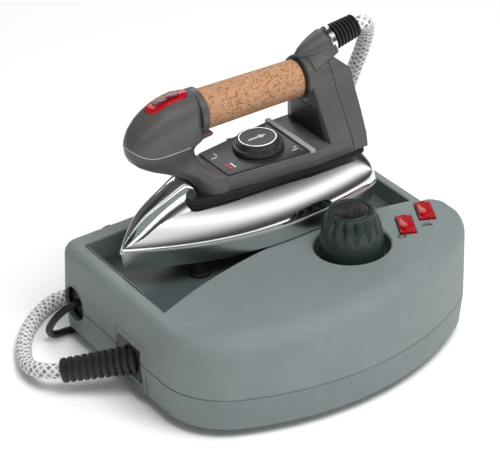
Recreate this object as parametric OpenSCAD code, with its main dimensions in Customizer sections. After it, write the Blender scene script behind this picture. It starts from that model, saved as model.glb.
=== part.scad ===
// Steam generator iron: a boiler base with a cork-handled iron resting in its recess.
// Origin under the middle of the base, +X along its long side, +Z up.

/* [Base] */
// Length of the casing
body_l = 316; // [312:1:324]
// Depth of the casing, front to back
body_d = 259; // [245:1:270]
// Height of the deck above the ground, at the middle
deck_z = 105; // [98:1:115]
// Slope of the deck, rising to the right, in degrees
incline = 4; // [2:0.5:5]
// Height of the feet
foot_h = 8; // [7.5:0.5:12]
// Height of the seam between the two casings
seam_z = 40.3; // [36:0.1:44]
// Wall thickness of the casings
wall = 3; // [2.5:0.1:3.5]
// Depth of the recess that the iron rests in
recess_h = 20; // [16:0.5:22]

/* [Boiler and cap] */
// Outer radius of the boiler
boiler_r = 50; // [40:1:52]
// Radius of the well round the cap
well_r = 34.5; // [33:0.5:36]
// Largest radius of the cap
cap_r = 28; // [24:0.5:30]
// Height of the cap above the deck
cap_top = 35; // [28:1:40]
// Radius of the screw core
core_r = 9.7; // [8:0.1:9.8]

/* [Iron] */
// Length of the soleplate
iron_l = 244; // [230:1:250]
// Half width of the soleplate at its widest
sole_w = 50; // [44:1:52]
// Thickness of the soleplate
sole_h = 19.4; // [16:0.1:22]
// Radius of the cork grip at its front end
grip_r = 18.2; // [16:0.1:19]
// Length of the cork grip
grip_l = 101; // [94:1:104]
// Radius of the dial
dial_r = 23; // [18:0.5:24]

/* [Cords] */
// Diameter of the braided steam hose
hose_d = 14; // [13:0.5:15]
// Diameter of the mains lead
lead_d = 6.8; // [6:0.2:7]

/* [Hidden] */
$fn = 48;
eps = 0.01;
slope = tan(incline);

// Plan outline of the casing: corner centre, radius, first and last angle, steps, edge rounding

half_l = body_l / 2;
half_d = body_d / 2;
rear_r = 16;
front_r = 271;
front_c = [-17, front_r - half_d];
left_r = 66;
lobe_r = 38;
rim_x = 140;
ear_r = 20;
ear_c = [half_l - ear_r, -36];
left_c = [left_r - half_l, front_c[1] - sqrt(pow(front_r - left_r, 2) - pow(left_r - half_l - front_c[0], 2))];
lobe_c = [half_l - lobe_r, front_c[1] - sqrt(pow(front_r - lobe_r, 2) - pow(half_l - lobe_r - front_c[0], 2))];
left_a = 360 + atan2(left_c[1] - front_c[1], left_c[0] - front_c[0]);
lobe_a = atan2(lobe_c[1] - front_c[1], lobe_c[0] - front_c[0]);
// Arcs of the outline: centre, radius, first and last angle, steps, share of the rounding at each end,
// and 1 where the next arc starts at this one's last point. Radius 0 is the inner corner beside the lobe.
corners = [
    [left_c, left_r, 180, left_a, 9, 0.45, 0.9, 1],
    [front_c, front_r, left_a, 360 + lobe_a, 12, 0.9, 0.9, 1],
    [lobe_c, lobe_r, lobe_a, 0, 7, 0.9, 0.4, 0],
    [ear_c, ear_r, 0, 80, 6, 0.4, 0.12, 0],
    [[rim_x, ear_c[1] + ear_r], 0, 45, 45, 1, 0.12, 0.12, 1],
    [[rim_x - rear_r, half_d - rear_r], rear_r, 0, 90, 5, 0.2, 0.4, 0],
    [[rear_r - half_l, half_d - rear_r], rear_r, 90, 180, 5, 0.4, 0.45, 0],
];
edge_r = 22;

// One ring of the casing. inset moves it inwards everywhere, round moves it by each corner's share.
function ring(inset, round = 0, flat_z = undef, drop = 0, round_drop = 0) = [
    for (c = corners) for (i = [0:c[4] - c[7]])
        let (s = i / c[4],
             w = c[5] + (c[6] - c[5]) * s,
             e = inset + round * w,
             r = c[1] == 0 ? -e * sqrt(2) : c[1] - e,
             a = c[2] + (c[3] - c[2]) * s,
             x = c[0][0] + r * cos(a))
        [x, c[0][1] + r * sin(a), is_undef(flat_z) ? deck_z + slope * x - drop - round_drop * w : flat_z]
];

// The rounded top edge: rings from the wall to the deck
function top_rings(inset, drop) = [
    for (a = [0:18:90]) ring(inset + 1.5, edge_r * (1 - cos(a)), undef, drop, edge_r * (1 - sin(a)))
];

// Closed solid through a list of rings, each with the same number of points
module skin(rings) {
    n = len(rings[0]);
    m = len(rings);
    polyhedron(
        points = [for (r = rings) each r],
        faces = concat(
            [[for (i = [0:n - 1]) i]],
            [for (k = [0:m - 2]) for (i = [0:n - 1]) [k * n + i, (k + 1) * n + i, k * n + (i + 1) % n]],
            [for (k = [0:m - 2]) for (i = [0:n - 1])
                [k * n + (i + 1) % n, (k + 1) * n + i, (k + 1) * n + (i + 1) % n]],
            [[for (i = [n - 1:-1:0]) (m - 1) * n + i]]
        )
    );
}

// Frames: the sloping deck, the cap's axis and the resting iron
cap_xy = [46, -40];
iron_at = [-136, 47, 1];
module on_deck() { translate([0, 0, deck_z]) rotate([0, -incline, 0]) children(); }
module on_cap() { on_deck() translate([cap_xy[0], cap_xy[1], 0]) children(); }
module on_iron() { on_deck() translate(iron_at) children(); }

module tube(outer, inner, h) {
    difference() {
        cylinder(r = outer, h = h);
        translate([0, 0, -1]) cylinder(r = inner, h = h + 2);
    }
}

// ---------------------------------------------------------------- base casing
hole_y = 101;
hole_z = 42;
hole_r = 16.5;
slot_y = [-14.5, 24.5];
slot_z = [19.7, 52.2];
// Screw bosses: plan position, and how far below the deck each one ends
bosses = [[-112, 84, recess_h + 1.2], [104, 84, recess_h + 1.2], [-122, -56, 1.2], [128, -66, 1.2], [-20, -98, 1.2]];
boss_r = 5.5;
screw_r = 1.8;
screw_head_r = 3.4;
plate_z = foot_h + wall;

big = 400;
module below(z) { translate([-big / 2, -big / 2, z - 60]) cube([big, big, 60]); }
module above(z) { translate([-big / 2, -big / 2, z]) cube([big, big, 60]); }

// Upper casing's outer block, or its hollow when inset is the wall. Its deck and seam are cut flat.
over = 4;
module casing_block(inset, lift = 0) {
    difference() {
        skin(concat([ring(inset + 0.3, 0, seam_z - lift - over)], top_rings(inset, inset),
            [ring(inset + 1.5, edge_r, undef, inset - over)]));
        below(seam_z - lift);
        on_deck() above(-inset - 0.05);
    }
}

// Lower casing's outer pan, or its hollow when inset is the wall, between two heights
module pan(inset, low, high) {
    difference() {
        skin([ring(inset + 5, 0, low - over), ring(inset + 5, 0, low + 0.2), ring(inset + 3, 0, low + 3),
            ring(inset + 0.3, 0, seam_z - 0.2), ring(inset + 0.3, 0, seam_z + over)]);
        below(low);
        above(high);
    }
}

module side_openings() {
    translate([-half_l - 5, hole_y, hole_z]) rotate([0, 90, 0]) cylinder(r = hole_r, h = 15);
    translate([-half_l - 5, slot_y[0], slot_z[0]]) cube([15, slot_y[1] - slot_y[0], slot_z[1] - slot_z[0]]);
}

module lower_casing() {
    color("#6f7f7d") difference() {
        pan(0, foot_h, seam_z);
        pan(wall, plate_z, seam_z + 1);
        side_openings();
        for (b = bosses) translate([b[0], b[1], foot_h - 1]) {
            cylinder(r = screw_r, h = wall + 2);
            cylinder(r = screw_head_r, h = 3);
        }
    }
}

recess = [-142, 130, 107];
recess_arc = [20.6, -407, 410];
module recess_plan(grow = 0) {
    difference() {
        translate([recess[0] - grow, -60]) square([recess[1] - recess[0] + 2 * grow, recess[2] + 60 + grow]);
        translate([recess_arc[0], recess_arc[1]]) circle(r = recess_arc[2] - grow, $fn = 120);
    }
}

rockers = [[101.4, -44.4], [129, -35.6]];
rocker_turn = -26;
rocker_size = [14.6, 28.2];
rocker_slot = [16, 31];
rocker_axis_w = -6;
module at_rockers() {
    for (p = rockers) on_deck() translate([p[0], p[1], 0]) rotate([0, 0, rocker_turn]) children();
}

module upper_casing() {
    color("#8b9a98") difference() {
        union() {
            difference() {
                casing_block(0);
                casing_block(wall, 1);
            }
            on_deck() translate([0, 0, -recess_h - wall]) linear_extrude(recess_h + wall - 1) recess_plan(2.5);
            on_cap() translate([0, 0, -25]) cylinder(r = well_r + wall, h = 24);
            for (b = bosses) translate([b[0], b[1], plate_z])
                cylinder(r = boss_r, h = deck_z + slope * b[0] - b[2] - plate_z);
        }
        on_deck() translate([0, 0, -recess_h]) linear_extrude(60) recess_plan();
        on_cap() translate([0, 0, -22]) cylinder(r = well_r, h = 60);
        on_cap() translate([0, 0, -30]) cylinder(r = 16.5, h = 20);
        at_rockers() translate([-rocker_slot[0] / 2, -rocker_slot[1] / 2, -10])
            cube([rocker_slot[0], rocker_slot[1], 20]);
        side_openings();
        for (b = bosses) translate([b[0], b[1], plate_z - 1]) cylinder(r = screw_r, h = 26);
    }
}

pads = [[-70, 30], [-70, 66], [60, 14], [60, 80]];
module rest_pads() {
    color("#1d1f20") for (p = pads) on_deck() translate([p[0], p[1], -recess_h]) {
        cylinder(r = 10, h = 4);
        translate([0, 0, 4]) cylinder(r1 = 7.5, r2 = 6.5, h = recess_h - 3.3);
    }
}

foot_at = [[-118, 68], [112, 90], [-100, -55], [112, -50], [0, -98]];
foot_r = 12;
module feet() {
    color("#202223") for (p = foot_at) translate([p[0], p[1], 0]) cylinder(r1 = foot_r - 1.5, r2 = foot_r, h = foot_h);
}

module casing_screws() {
    color("#b8bcbf") for (b = bosses) translate([b[0], b[1], 0]) {
        translate([0, 0, foot_h + 2]) cylinder(r = screw_r, h = 20);
        translate([0, 0, foot_h]) cylinder(r = screw_head_r, h = 2);
    }
}

// ---------------------------------------------------------------- boiler
boiler_top = -36;
boiler_low = -86;
neck_top = -6;
neck_r = 14;
neck_bore = 10.1;
function dome(r, z, rise) = [for (a = [0:15:90]) [r * cos(a), z + rise * sin(a)]];
module boiler_shell() {
    color("#c9ccce") on_cap() rotate_extrude($fn = 64) difference() {
        polygon(concat([[0, boiler_low]], [[boiler_r - 6, boiler_low], [boiler_r, boiler_low + 6]],
            dome(boiler_r, boiler_top - 12, 10), [[0, boiler_top - 2]]));
        polygon(concat([[0, boiler_low + 2]], [[boiler_r - 7, boiler_low + 2], [boiler_r - 2, boiler_low + 7]],
            dome(boiler_r - 2, boiler_top - 13, 9), [[0, boiler_top - 4]]));
        translate([0, boiler_top - 12]) square([neck_r, 20]);
    }
}

module boiler_neck() {
    color("#c8a951") on_cap() {
        translate([0, 0, boiler_top - 8]) tube(neck_r, neck_bore, neck_top - boiler_top + 8);
    }
}

module well_seal() {
    color("#222426") on_cap() translate([0, 0, -24.5]) tube(16.4, neck_r, 2.4);
}

module boiler_heater() {
    color("#9a9da0") on_cap() translate([0, 0, boiler_low - 7]) rotate_extrude($fn = 64) {
        translate([22, 0]) square([24 - 5, 7]);
    }
}

module boiler_legs() {
    color("#a7abae") intersection() {
        on_cap() for (a = [30, 150, 270]) rotate([0, 0, a]) translate([14, 0, boiler_low - 20]) cylinder(r = 5, h = 20);
        translate([-half_l, -half_d, plate_z]) cube([body_l, body_d, 100]);
    }
}

module boiler_thermostat() {
    color("#e8e4da") on_cap() rotate([0, 0, 140]) translate([boiler_r, 0, -60]) rotate([0, 90, 0]) {
        translate([0, 0, 0]) cylinder(r = 8, h = 9);
        translate([-7, -1.5, 9]) cube([14, 3, 7]);
    }
}

module pressure_switch() {
    color("#3b3d40") on_cap() rotate([0, 0, 230]) translate([boiler_r, 0, -62]) rotate([0, 90, 0]) {
        cylinder(r = 4, h = 8);
        translate([0, 0, 8]) cylinder(r = 14, h = 9);
    }
}

// ---------------------------------------------------------------- solenoid valve and pipes
valve_at = [-70, 10];
module at_valve() { translate([valve_at[0], valve_at[1], plate_z]) children(); }
plunger_r = 4;
module solenoid_valve_body() {
    color("#b8893b") at_valve() difference() {
        union() {
            translate([-13, -13, 0]) cube([26, 26, 14]);
            translate([0, 0, 14]) cylinder(r = 6, h = 26);
        }
        translate([0, 0, 6]) cylinder(r = plunger_r + 0.06, h = 32);
        translate([0, 0, 8]) rotate([0, 90, 0]) cylinder(r = 2.5, h = 20);
        translate([-20, 0, 8]) rotate([0, 90, 0]) cylinder(r = 2.5, h = 20);
    }
}

module solenoid_coil() {
    color("#2e3134") at_valve() translate([0, 0, 14]) tube(14, 6, 24);
}

module solenoid_plunger() {
    color("#8d9194") at_valve() translate([0, 0, 6.4]) cylinder(r = plunger_r, h = 16);
}

module plunger_spring() {
    color("#cfd2d4") at_valve() translate([0, 0, 22.7]) tube(3.2, 2.2, 15);
}

pipe_r = 3;
module steam_pipes() {
    color("#b9793a") {
        translate([20 - half_l, valve_at[1], plate_z + 8]) rotate([0, 90, 0])
            cylinder(r = pipe_r, h = half_l - 20 + valve_at[0] - 13);
        translate([valve_at[0] + 13, valve_at[1], plate_z + 8]) rotate([0, 90, 0]) cylinder(r = pipe_r, h = 43);
        translate([valve_at[0] + 53, valve_at[1], plate_z + 8]) sphere(r = 4.4, $fn = 24);
    }
}

module terminal_block() {
    color("#ece9df") translate([-104, 60, plate_z]) difference() {
        cube([14, 40, 18]);
        for (i = [0:3]) translate([7, 6 + i * 9.3, 8]) cylinder(r = 2.2, h = 12);
    }
}

module switch_housings() {
    color("#26282a") at_rockers() difference() {
        translate([-9.2, -17, -22]) cube([18.4, 33.1, 22 - wall - 2.2]);
        translate([-rocker_slot[0] / 2, -rocker_slot[1] / 2, -14]) cube([rocker_slot[0], rocker_slot[1], 20]);
        translate([-8.8, 0, rocker_axis_w]) rotate([0, 90, 0]) cylinder(r = 1.56, h = 17.6);
    }
}

module rocker() {
    translate([-rocker_size[0] / 2, -rocker_size[1] / 2, -9]) cube([rocker_size[0], rocker_size[1], 11]);
    translate([0, 0, 2]) hull() {
        translate([-rocker_size[0] / 2, -rocker_size[1] / 2, 0]) cube([rocker_size[0], rocker_size[1], eps]);
        translate([-rocker_size[0] / 2 + 1.6, -rocker_size[1] / 2 + 2, 2.5])
            cube([rocker_size[0] - 3.2, rocker_size[1] - 4, eps]);
    }
    translate([-8.5, 0, rocker_axis_w]) rotate([0, 90, 0]) cylinder(r = 1.5, h = 17);
}
module at_rocker(i) {
    on_deck() translate([rockers[i][0], rockers[i][1], 0]) rotate([0, 0, rocker_turn]) children();
}
module boiler_rocker() { color("#b3202c") at_rocker(0) rocker(); }
module iron_rocker() { color("#b3202c") at_rocker(1) rocker(); }

// ---------------------------------------------------------------- safety cap
module cap_core() {
    color("#c8a951") on_cap() {
        translate([0, 0, -29.5]) cylinder(r = core_r, h = 25.3);
        translate([0, 0, -4.2]) cylinder(r = 16, h = 3.2);
        translate([0, 0, -1]) cylinder(r = 6, h = 22);
    }
}

module cap_seal() {
    color("#1c1e1f") on_cap() translate([0, 0, -5.7]) tube(neck_r, core_r, 1.5);
}

flutes = 14;
module cap_knob() {
    color("#4a5c5a") on_cap() difference() {
        rotate_extrude($fn = 72) polygon([
            [6.05, 0], [17.2, 0], [17.2, -14], [cap_r, -14], [cap_r, 8], [cap_r - 1.2, 16], [24.5, 27],
            [21.5, 33], [18, cap_top - 0.5], [17.3, cap_top], [16.6, cap_top], [16.6, cap_top - 2.5],
            [0, cap_top - 2.5], [0, 24], [6.05, 24]]);
        for (i = [0:flutes - 1]) rotate([0, 0, i * 360 / flutes]) translate([cap_r + 2.5, 0, 13])
            rotate([0, -14, 0]) cylinder(r1 = 2.5, r2 = 5.5, h = 30, $fn = 20);
    }
}

module cap_insert() {
    color("#d9dcde") on_cap() translate([0, 0, cap_top - 2.5]) cylinder(r = 16.6, h = 2.1);
}

// ---------------------------------------------------------------- iron
// Half width of the soleplate at the share t of its length
function half_width(t) = t < 0.615 ? sole_w * (1 - pow(1 - t / 0.615, 2)) : sole_w * (1 - 0.24 * pow((t - 0.615) / 0.385, 2));
plan_steps = [0, 0.01, 0.03, 0.07, 0.13, 0.2, 0.28, 0.37, 0.47, 0.58, 0.7, 0.85, 1];
// A plan ring of the iron between a nose and a heel, scaled to a half width w
function iron_ring(z, nose, heel, w) = concat(
    [for (t = plan_steps) [nose + (heel - nose) * t, -max(0.6, half_width(t) * w / sole_w), z]],
    [for (i = [len(plan_steps) - 1:-1:0]) let (t = plan_steps[i])
        [nose + (heel - nose) * t, max(0.6, half_width(t) * w / sole_w), z]]);
function iron_rings(list) = [for (s = list) iron_ring(s[0], s[1], s[2], s[3])];

flare = 4;
sole_profile = [[0, 1.5, iron_l - 1.5, sole_w - 1.5], [1.5, 0, iron_l, sole_w], [sole_h, -2, iron_l + 3, sole_w + flare]];
shell_profile = [[sole_h, -2, 247, 54], [22, 1, 247, 53.5], [30, 8, 246, 50.5], [38, 17, 243, 45.5],
    [45, 29, 239, 38], [49, 40, 234, 32], [50, 52, 230, 27]];
shell_inside = [[sole_h - 1, 3, 245, 52.2], [22, 4, 245, 51.8], [30, 12, 244, 48.8], [38, 22, 241, 43.5],
    [44, 34, 236, 36], [48, 50, 230, 28]];

module soleplate() { color("#c4c6c8") on_iron() skin(iron_rings(sole_profile)); }

element_r = 4;
module heating_element() {
    color("#8f8a84") on_iron() translate([90, 0, sole_h + element_r]) {
        rotate([0, 0, 90]) rotate_extrude(angle = 180, $fn = 64) translate([26, 0]) circle(r = element_r, $fn = 24);
        for (s = [-1, 1]) translate([0, s * 26, 0]) rotate([0, 90, 0]) cylinder(r = element_r, h = 130, $fn = 24);
    }
}

module steam_chamber_cover() {
    color("#b4b7b9") on_iron() translate([95, -18, sole_h]) cube([110, 36, 9]);
}

beak_side = [[16, 30], [32, 48], [43, 53.6], [54, 55], [60, 44], [30, 34]];
module chrome_shell() {
    color("#dfe3e6") on_iron() difference() {
        union() {
            skin(iron_rings(shell_profile));
            translate([0, 4, 0]) rotate([90, 0, 0]) linear_extrude(8) polygon(beak_side);
        }
        skin(iron_rings(shell_inside));
    }
}

// Outline of the handle base: half widths along its length
base_x = [72, 97, 182, 238];
base_hw = [14, 27, 38, 37];
module base_plan(e, from = 0, to = 3) {
    xs = [for (i = [from:to]) base_x[i] + (i == from ? e : i == to ? -e : 0)];
    ys = [for (i = [from:to]) base_hw[i] - e];
    polygon(concat([for (i = [0:to - from]) [xs[i], -ys[i]]], [for (i = [to - from:-1:0]) [xs[i], ys[i]]]));
}

module heat_shield() {
    color("#131415") on_iron() translate([0, 0, 50]) linear_extrude(6) base_plan(4);
}

base_low = 56;
base_top = 70;
module handle_base() {
    color("#56524e") on_iron() difference() {
        translate([0, 0, base_low]) linear_extrude(base_top - base_low) base_plan(0, 1, 2);
        translate([0, 0, base_low - 1]) linear_extrude(base_top - base_low - 1.5) base_plan(2.5, 1, 2);
        translate([145, 0, base_low]) cylinder(r = 6.5, h = 30);
    }
}

panel_h = 1.5;
module control_panel() {
    color("#1a1b1c") on_iron() difference() {
        translate([0, 0, base_top]) linear_extrude(panel_h) base_plan(2.5, 1, 2);
        translate([145, 0, base_top - 1]) cylinder(r = 6.5, h = 5);
    }
}

shaft_r = 3;
module thermostat() {
    color("#c9c5ba") on_iron() translate([145, 0, base_low]) {
        cylinder(r = 12, h = 9);
        cylinder(r = 5.5, h = 14.5);
        cylinder(r = shaft_r, h = 23);
    }
}

dial_z = base_top + panel_h + 0.4;
module dial() {
    color("#35373a") on_iron() translate([145, 0, dial_z]) difference() {
        union() {
            cylinder(r1 = dial_r, r2 = dial_r - 1, h = 5);
            translate([0, 0, 5]) cylinder(r1 = 20, r2 = 18.5, h = 5);
        }
        translate([0, 0, -1]) cylinder(r = shaft_r + 0.05, h = 8.5);
        translate([0, 0, 8.8]) tube(17.2, 15.2, 3);
    }
}

module dial_ring() {
    color("#d5d9db") on_iron() translate([145, 0, dial_z + 8.8]) tube(17.2, 15.2, 1.4);
}

// Front column and head: height, front, middle, back, half width, flatness of the back
head_profile = [
    [56, 73, 96.9, 97, 26.5], [63, 71, 96.9, 97, 26], [69, 66, 96, 97, 24], [74, 60, 84, 94, 20],
    [82, 47, 66, 83, 17], [92, 28.5, 52, 77.5, 17], [101, 18, 48, 76, 19.5], [106, 15, 48, 80, 20.5],
    [109, 14, 48, 86.9, 21], [118, 14, 48, 87, 21.3], [127, 18, 50, 87, 21.3], [135, 25, 54, 87, 20],
    [141, 33, 57, 87, 17.5], [146, 41, 60, 87, 13], [149.5, 50, 62, 85, 7.5], [151, 58, 64, 78, 2.5]];
head_n = 28;
function soft(v, p) = v < 0 ? -pow(-v, p) : pow(v, p);
function head_ring(s, e) = [
    for (i = [0:head_n - 1])
        let (a = 360 * (i + 0.5) / head_n, c = cos(a), mid = s[2],
             back = s[3] - e, front = s[1] + e, w = max(s[4] - e, 0.8))
        [c < 0 ? mid + (mid - front) * soft(c, 0.9) : mid + (back - mid) * soft(c, 0.5), w * soft(sin(a), 0.85), s[0]]
];
module head_solid(e = 0, first = 0, last = 15) {
    skin([for (i = [first:last]) head_ring(head_profile[i], e)]);
}

button_at = 56;
lens_z = 133.5;
trigger_pin = [77, 107];
module stadium(l, r, h) {
    linear_extrude(h) union() {
        translate([-l / 2 + r, -r]) square([l - 2 * r, 2 * r]);
        for (s = [-1, 1]) translate([s * (l / 2 - r), 0]) circle(r = r, $fn = 32);
    }
}

module on_grip() { on_iron() translate([87, 0, 129]) rotate([0, 91.5, 0]) children(); }
core_tube_r = 6;
tube_lap = 10.8;

module handle_head() {
    color("#5a5653") difference() {
        on_iron() difference() {
            head_solid();
            translate([0, 0, -0.01]) head_solid(3.2, 0, 10);
            translate([0, 0, 46]) linear_extrude(12) base_plan(30, 0, 1);
            translate([button_at, 0, lens_z]) stadium(40, 8.2, 30);
            translate([71.5, -5, 96]) cube([20, 10, 16.6]);
            translate([trigger_pin[0], -10, trigger_pin[1]]) rotate([-90, 0, 0]) cylinder(r = 1.5, h = 20);
        }
        on_grip() translate([0, 0, -12]) cylinder(r = core_tube_r, h = 20);
    }
}

module pilot_lens() {
    color("#c01828") on_iron() difference() {
        intersection() {
            head_solid(-0.8);
            translate([button_at, 0, lens_z]) stadium(40, 8.2, 30);
        }
        translate([button_at, 0, lens_z + 2.5]) stadium(25, 5, 30);
    }
}

module steam_button() {
    color("#7d0f1a") on_iron() intersection() {
        head_solid(-2.4);
        translate([button_at, 0, lens_z + 6]) stadium(24.4, 4.7, 30);
        translate([0, -20, 100]) cube([120, 40, 53]);
    }
}

module button_spring() {
    color("#cfd2d4") on_iron() translate([button_at, 0, lens_z + 2.8]) tube(3, 2.2, 2.9);
}

module trigger() {
    color("#a81a24") on_iron() difference() {
        translate([0, 4.2, 0]) rotate([90, 0, 0]) linear_extrude(8.4) polygon([
            [73.6, 104.5], [78, 103], [86, 101.6], [96.5, 102.6], [98.5, 104.4], [97, 106.4], [88, 108], [80, 110.4],
            [74, 110.4]]);
        translate([trigger_pin[0], -10, trigger_pin[1]]) rotate([-90, 0, 0]) cylinder(r = 1.55, h = 20);
    }
}

module trigger_pin_rod() {
    color("#b9bdc0") on_iron() translate([trigger_pin[0], -9, trigger_pin[1]]) rotate([-90, 0, 0])
        cylinder(r = 1.5, h = 18);
}

module microswitch() {
    color("#2a2c2f") on_iron() translate([52, -3, 100]) cube([17, 6, 10]);
}

module cork_grip() {
    color("#c99f72") on_grip() difference() {
        translate([0, 0, 0.6]) cylinder(r1 = grip_r, r2 = grip_r - 1.2, h = grip_l - 0.6, $fn = 64);
        translate([0, 0, -1]) cylinder(r = core_tube_r, h = grip_l + 2);
    }
}

module handle_tube() {
    color("#aeb3b6") on_grip() translate([0, 0, -tube_lap]) tube(core_tube_r, core_tube_r - 1.5, grip_l + 12 + tube_lap);
}

// Rear post: drawn as seen along the iron, leaning a little to the front
post_lean = 6.5;
post_foot = 222.7;
post_plan = [[-37, -6], [-36.5, 12], [-31, 34], [-24, 56], [-20, 74], [20, 74], [24, 56], [31, 34], [36.5, 12], [37, -6]];
module post_outline(e = 0) {
    offset(delta = -e) {
        polygon(post_plan);
        translate([0, 71]) circle(r = 20.6);
    }
}
// Rear face of the cover: its foot and its lean
cover_foot = 238;
cover_lean = 3.5;
// Where the slope behind the cover's top starts, and how steep it is
cover_slope_at = [210.4, 151.8];
cover_slope = 44;
module on_post() { translate([post_foot, 0, base_low]) rotate([0, -post_lean, 0]) rotate([0, 0, 90]) rotate([90, 0, 0]) children(); }
module above_base() { translate([100, -60, base_low]) cube([200, 120, 130]); }

module rear_post() {
    color("#5a5653") difference() {
        on_iron() intersection() {
            union() {
                on_post() translate([0, 0, -22]) linear_extrude(22) post_outline();
                translate([182, 0, base_low]) linear_extrude(base_top - base_low) polygon([[0, -38], [42, -37.2], [42, 37.2], [0, 38]]);
                translate([87, 0, 129]) rotate([0, 91.5, 0]) translate([0, 0, grip_l]) cylinder(r = 20, h = 10);
            }
            above_base();
            on_post() translate([-60, -20, -60]) cube([120, 140, 60]);
        }
        on_iron() on_post() translate([0, 0, -18]) linear_extrude(19) post_outline(4);
        on_grip() cylinder(r = core_tube_r, h = grip_l + 12);
    }
}

module rear_cover() {
    color("#5a5653") on_iron() difference() {
        intersection() {
            on_post() linear_extrude(30) post_outline();
            above_base();
            translate([cover_foot, -60, base_low]) rotate([0, -cover_lean, 0]) translate([-80, 0, -20]) cube([80, 120, 150]);
        }
        on_post() translate([0, 0, -1]) linear_extrude(12) post_outline(4);
        translate([cover_slope_at[0], -60, cover_slope_at[1]]) rotate([0, cover_slope, 0]) cube([60, 120, 60]);
    }
}

module iron_terminal_block() {
    color("#ece9df") on_iron() on_post() translate([-14, 20, -6]) cube([28, 12, 12]);
}

holder_at = [195, 0, 148];
holder_tilt = 9;
holder_l = 25;
module on_holder() { on_iron() translate(holder_at) rotate([0, 90 - holder_tilt, 0]) children(); }
module hose_holder() {
    color("#55514e") difference() {
        on_holder() rotate_extrude() polygon([[0, -5], [6, 3], [11, 17], [12.2, 22], [12.2, holder_l], [0, holder_l]]);
        on_iron() on_post() translate([0, 0, -60]) linear_extrude(120) translate([0, 71]) circle(r = 20.62);
        on_grip() cylinder(r = 20.02, h = grip_l + 20);
    }
}

relief_r = 9;
relief_l = 25;
module hose_clamp() {
    color("#c8cbcd") on_holder() translate([0, 0, holder_l + 2]) tube(12, relief_r, 5.5);
}

ribs = 7;
module iron_strain_relief() {
    color("#1b1c1d") on_holder() translate([0, 0, holder_l]) difference() {
        union() {
            cylinder(r = relief_r, h = 9 + relief_l);
            for (i = [0:ribs - 1]) translate([0, 0, 8.6 + i * relief_l / ribs])
                cylinder(r1 = 11.6 - 0.2 * i, r2 = 11.2 - 0.2 * i, h = 2.6);
        }
        translate([0, 0, 20]) cylinder(r = hose_d / 2 + 0.35, h = relief_l);
    }
}

// ---------------------------------------------------------------- cords
// Points of a smooth curve through p, with n steps between two points
function curve(p, n) = [
    for (i = [0:len(p) - 2]) for (k = [0:i == len(p) - 2 ? n : n - 1])
        let (t = k / n, a = p[max(i - 1, 0)], b = p[i], c = p[i + 1], d = p[min(i + 2, len(p) - 1)])
        0.5 * (2 * b + (c - a) * t + (2 * a - 5 * b + 4 * c - d) * t * t + (3 * b - a - 3 * c + d) * t * t * t)
];
function unit(v) = v / norm(v);
function tangents(q) = [for (i = [0:len(q) - 1]) unit(q[min(i + 1, len(q) - 1)] - q[max(i - 1, 0)])];
// Side vectors that turn as little as possible along the curve
function sides(t, first) = [
    for (i = 0, v = unit(first - (first * t[0]) * t[0]);
        i < len(t);
        i = i + 1, v = i < len(t) ? unit(v - (v * t[i]) * t[i]) : v) v
];
tube_n = 10;
module sweep(points, r, first) {
    t = tangents(points);
    v = sides(t, first);
    skin([for (i = [0:len(points) - 1]) let (w = cross(t[i], v[i]))
        [for (k = [0:tube_n - 1]) points[i] - r * (cos(k * 360 / tube_n) * v[i] + sin(k * 360 / tube_n) * w)]]);
}

// A point at distance d along the hose holder's axis, in the part's frame
function holder_point(d) =
    let (x = iron_at[0] + holder_at[0] + d * cos(holder_tilt), z = iron_at[2] + holder_at[2] + d * sin(holder_tilt))
    [x * cos(incline) - z * sin(incline), iron_at[1], deck_z + x * sin(incline) + z * cos(incline)];

// Strain relief on the base: root, turn in plan and droop
relief_at = [-150, -2, 37];
relief_turn = 145;
relief_droop = 12;
relief_len = 70;
function relief_point(d) = relief_at
    + d * [cos(relief_turn) * cos(relief_droop), sin(relief_turn) * cos(relief_droop), -sin(relief_droop)];
module on_relief() { translate(relief_at) rotate([0, 0, relief_turn]) rotate([0, 90 + relief_droop, 0]) children(); }

hose_r = hose_d / 2 - 0.08;
hose_coil_c = [108, 212];
hose_coil_r = 70;
hose_turns = 2.5;
hose_fall = [holder_point(46), holder_point(53), holder_point(60), [117, 49, 270], [128, 59, 258], [137, 76, 233], [142, 100, 190],
    [148, 126, 141], [157, 150, 86], [167, 172, 38], [175, 192, 13], [178, 206, 7.5]];
hose_run = [[38, 216, 42], [37, 190, 38], [28, 166, 31], [10, 149, 24], [-16, 142, 18], [-44, 143, 15], [-72, 149, 15],
    [-96, 160, 10], [-118, 168, 7], [-142, 167, 7], [-164, 156, 7], [-184, 139, 7], [-201, 118, 7], [-213, 95, 8],
    [-219, 72, 12], [-216, 52, 18], relief_point(relief_len), relief_point(relief_len - 16)];

module steam_hose_fall() { color("#b9bcbd") sweep(curve(hose_fall, 3), hose_r, [0, 1, 0]); }
module steam_hose_run() { color("#b9bcbd") sweep(curve(hose_run, 2), hose_r, [0, 0, 1]); }
module steam_hose_coil() {
    color("#b9bcbd") translate([hose_coil_c[0], hose_coil_c[1], 0]) rotate_extrude($fn = 72)
        translate([hose_coil_r - hose_d / 2, 0]) square([hose_d, hose_d * (hose_turns + 0.99)]);
}

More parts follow.
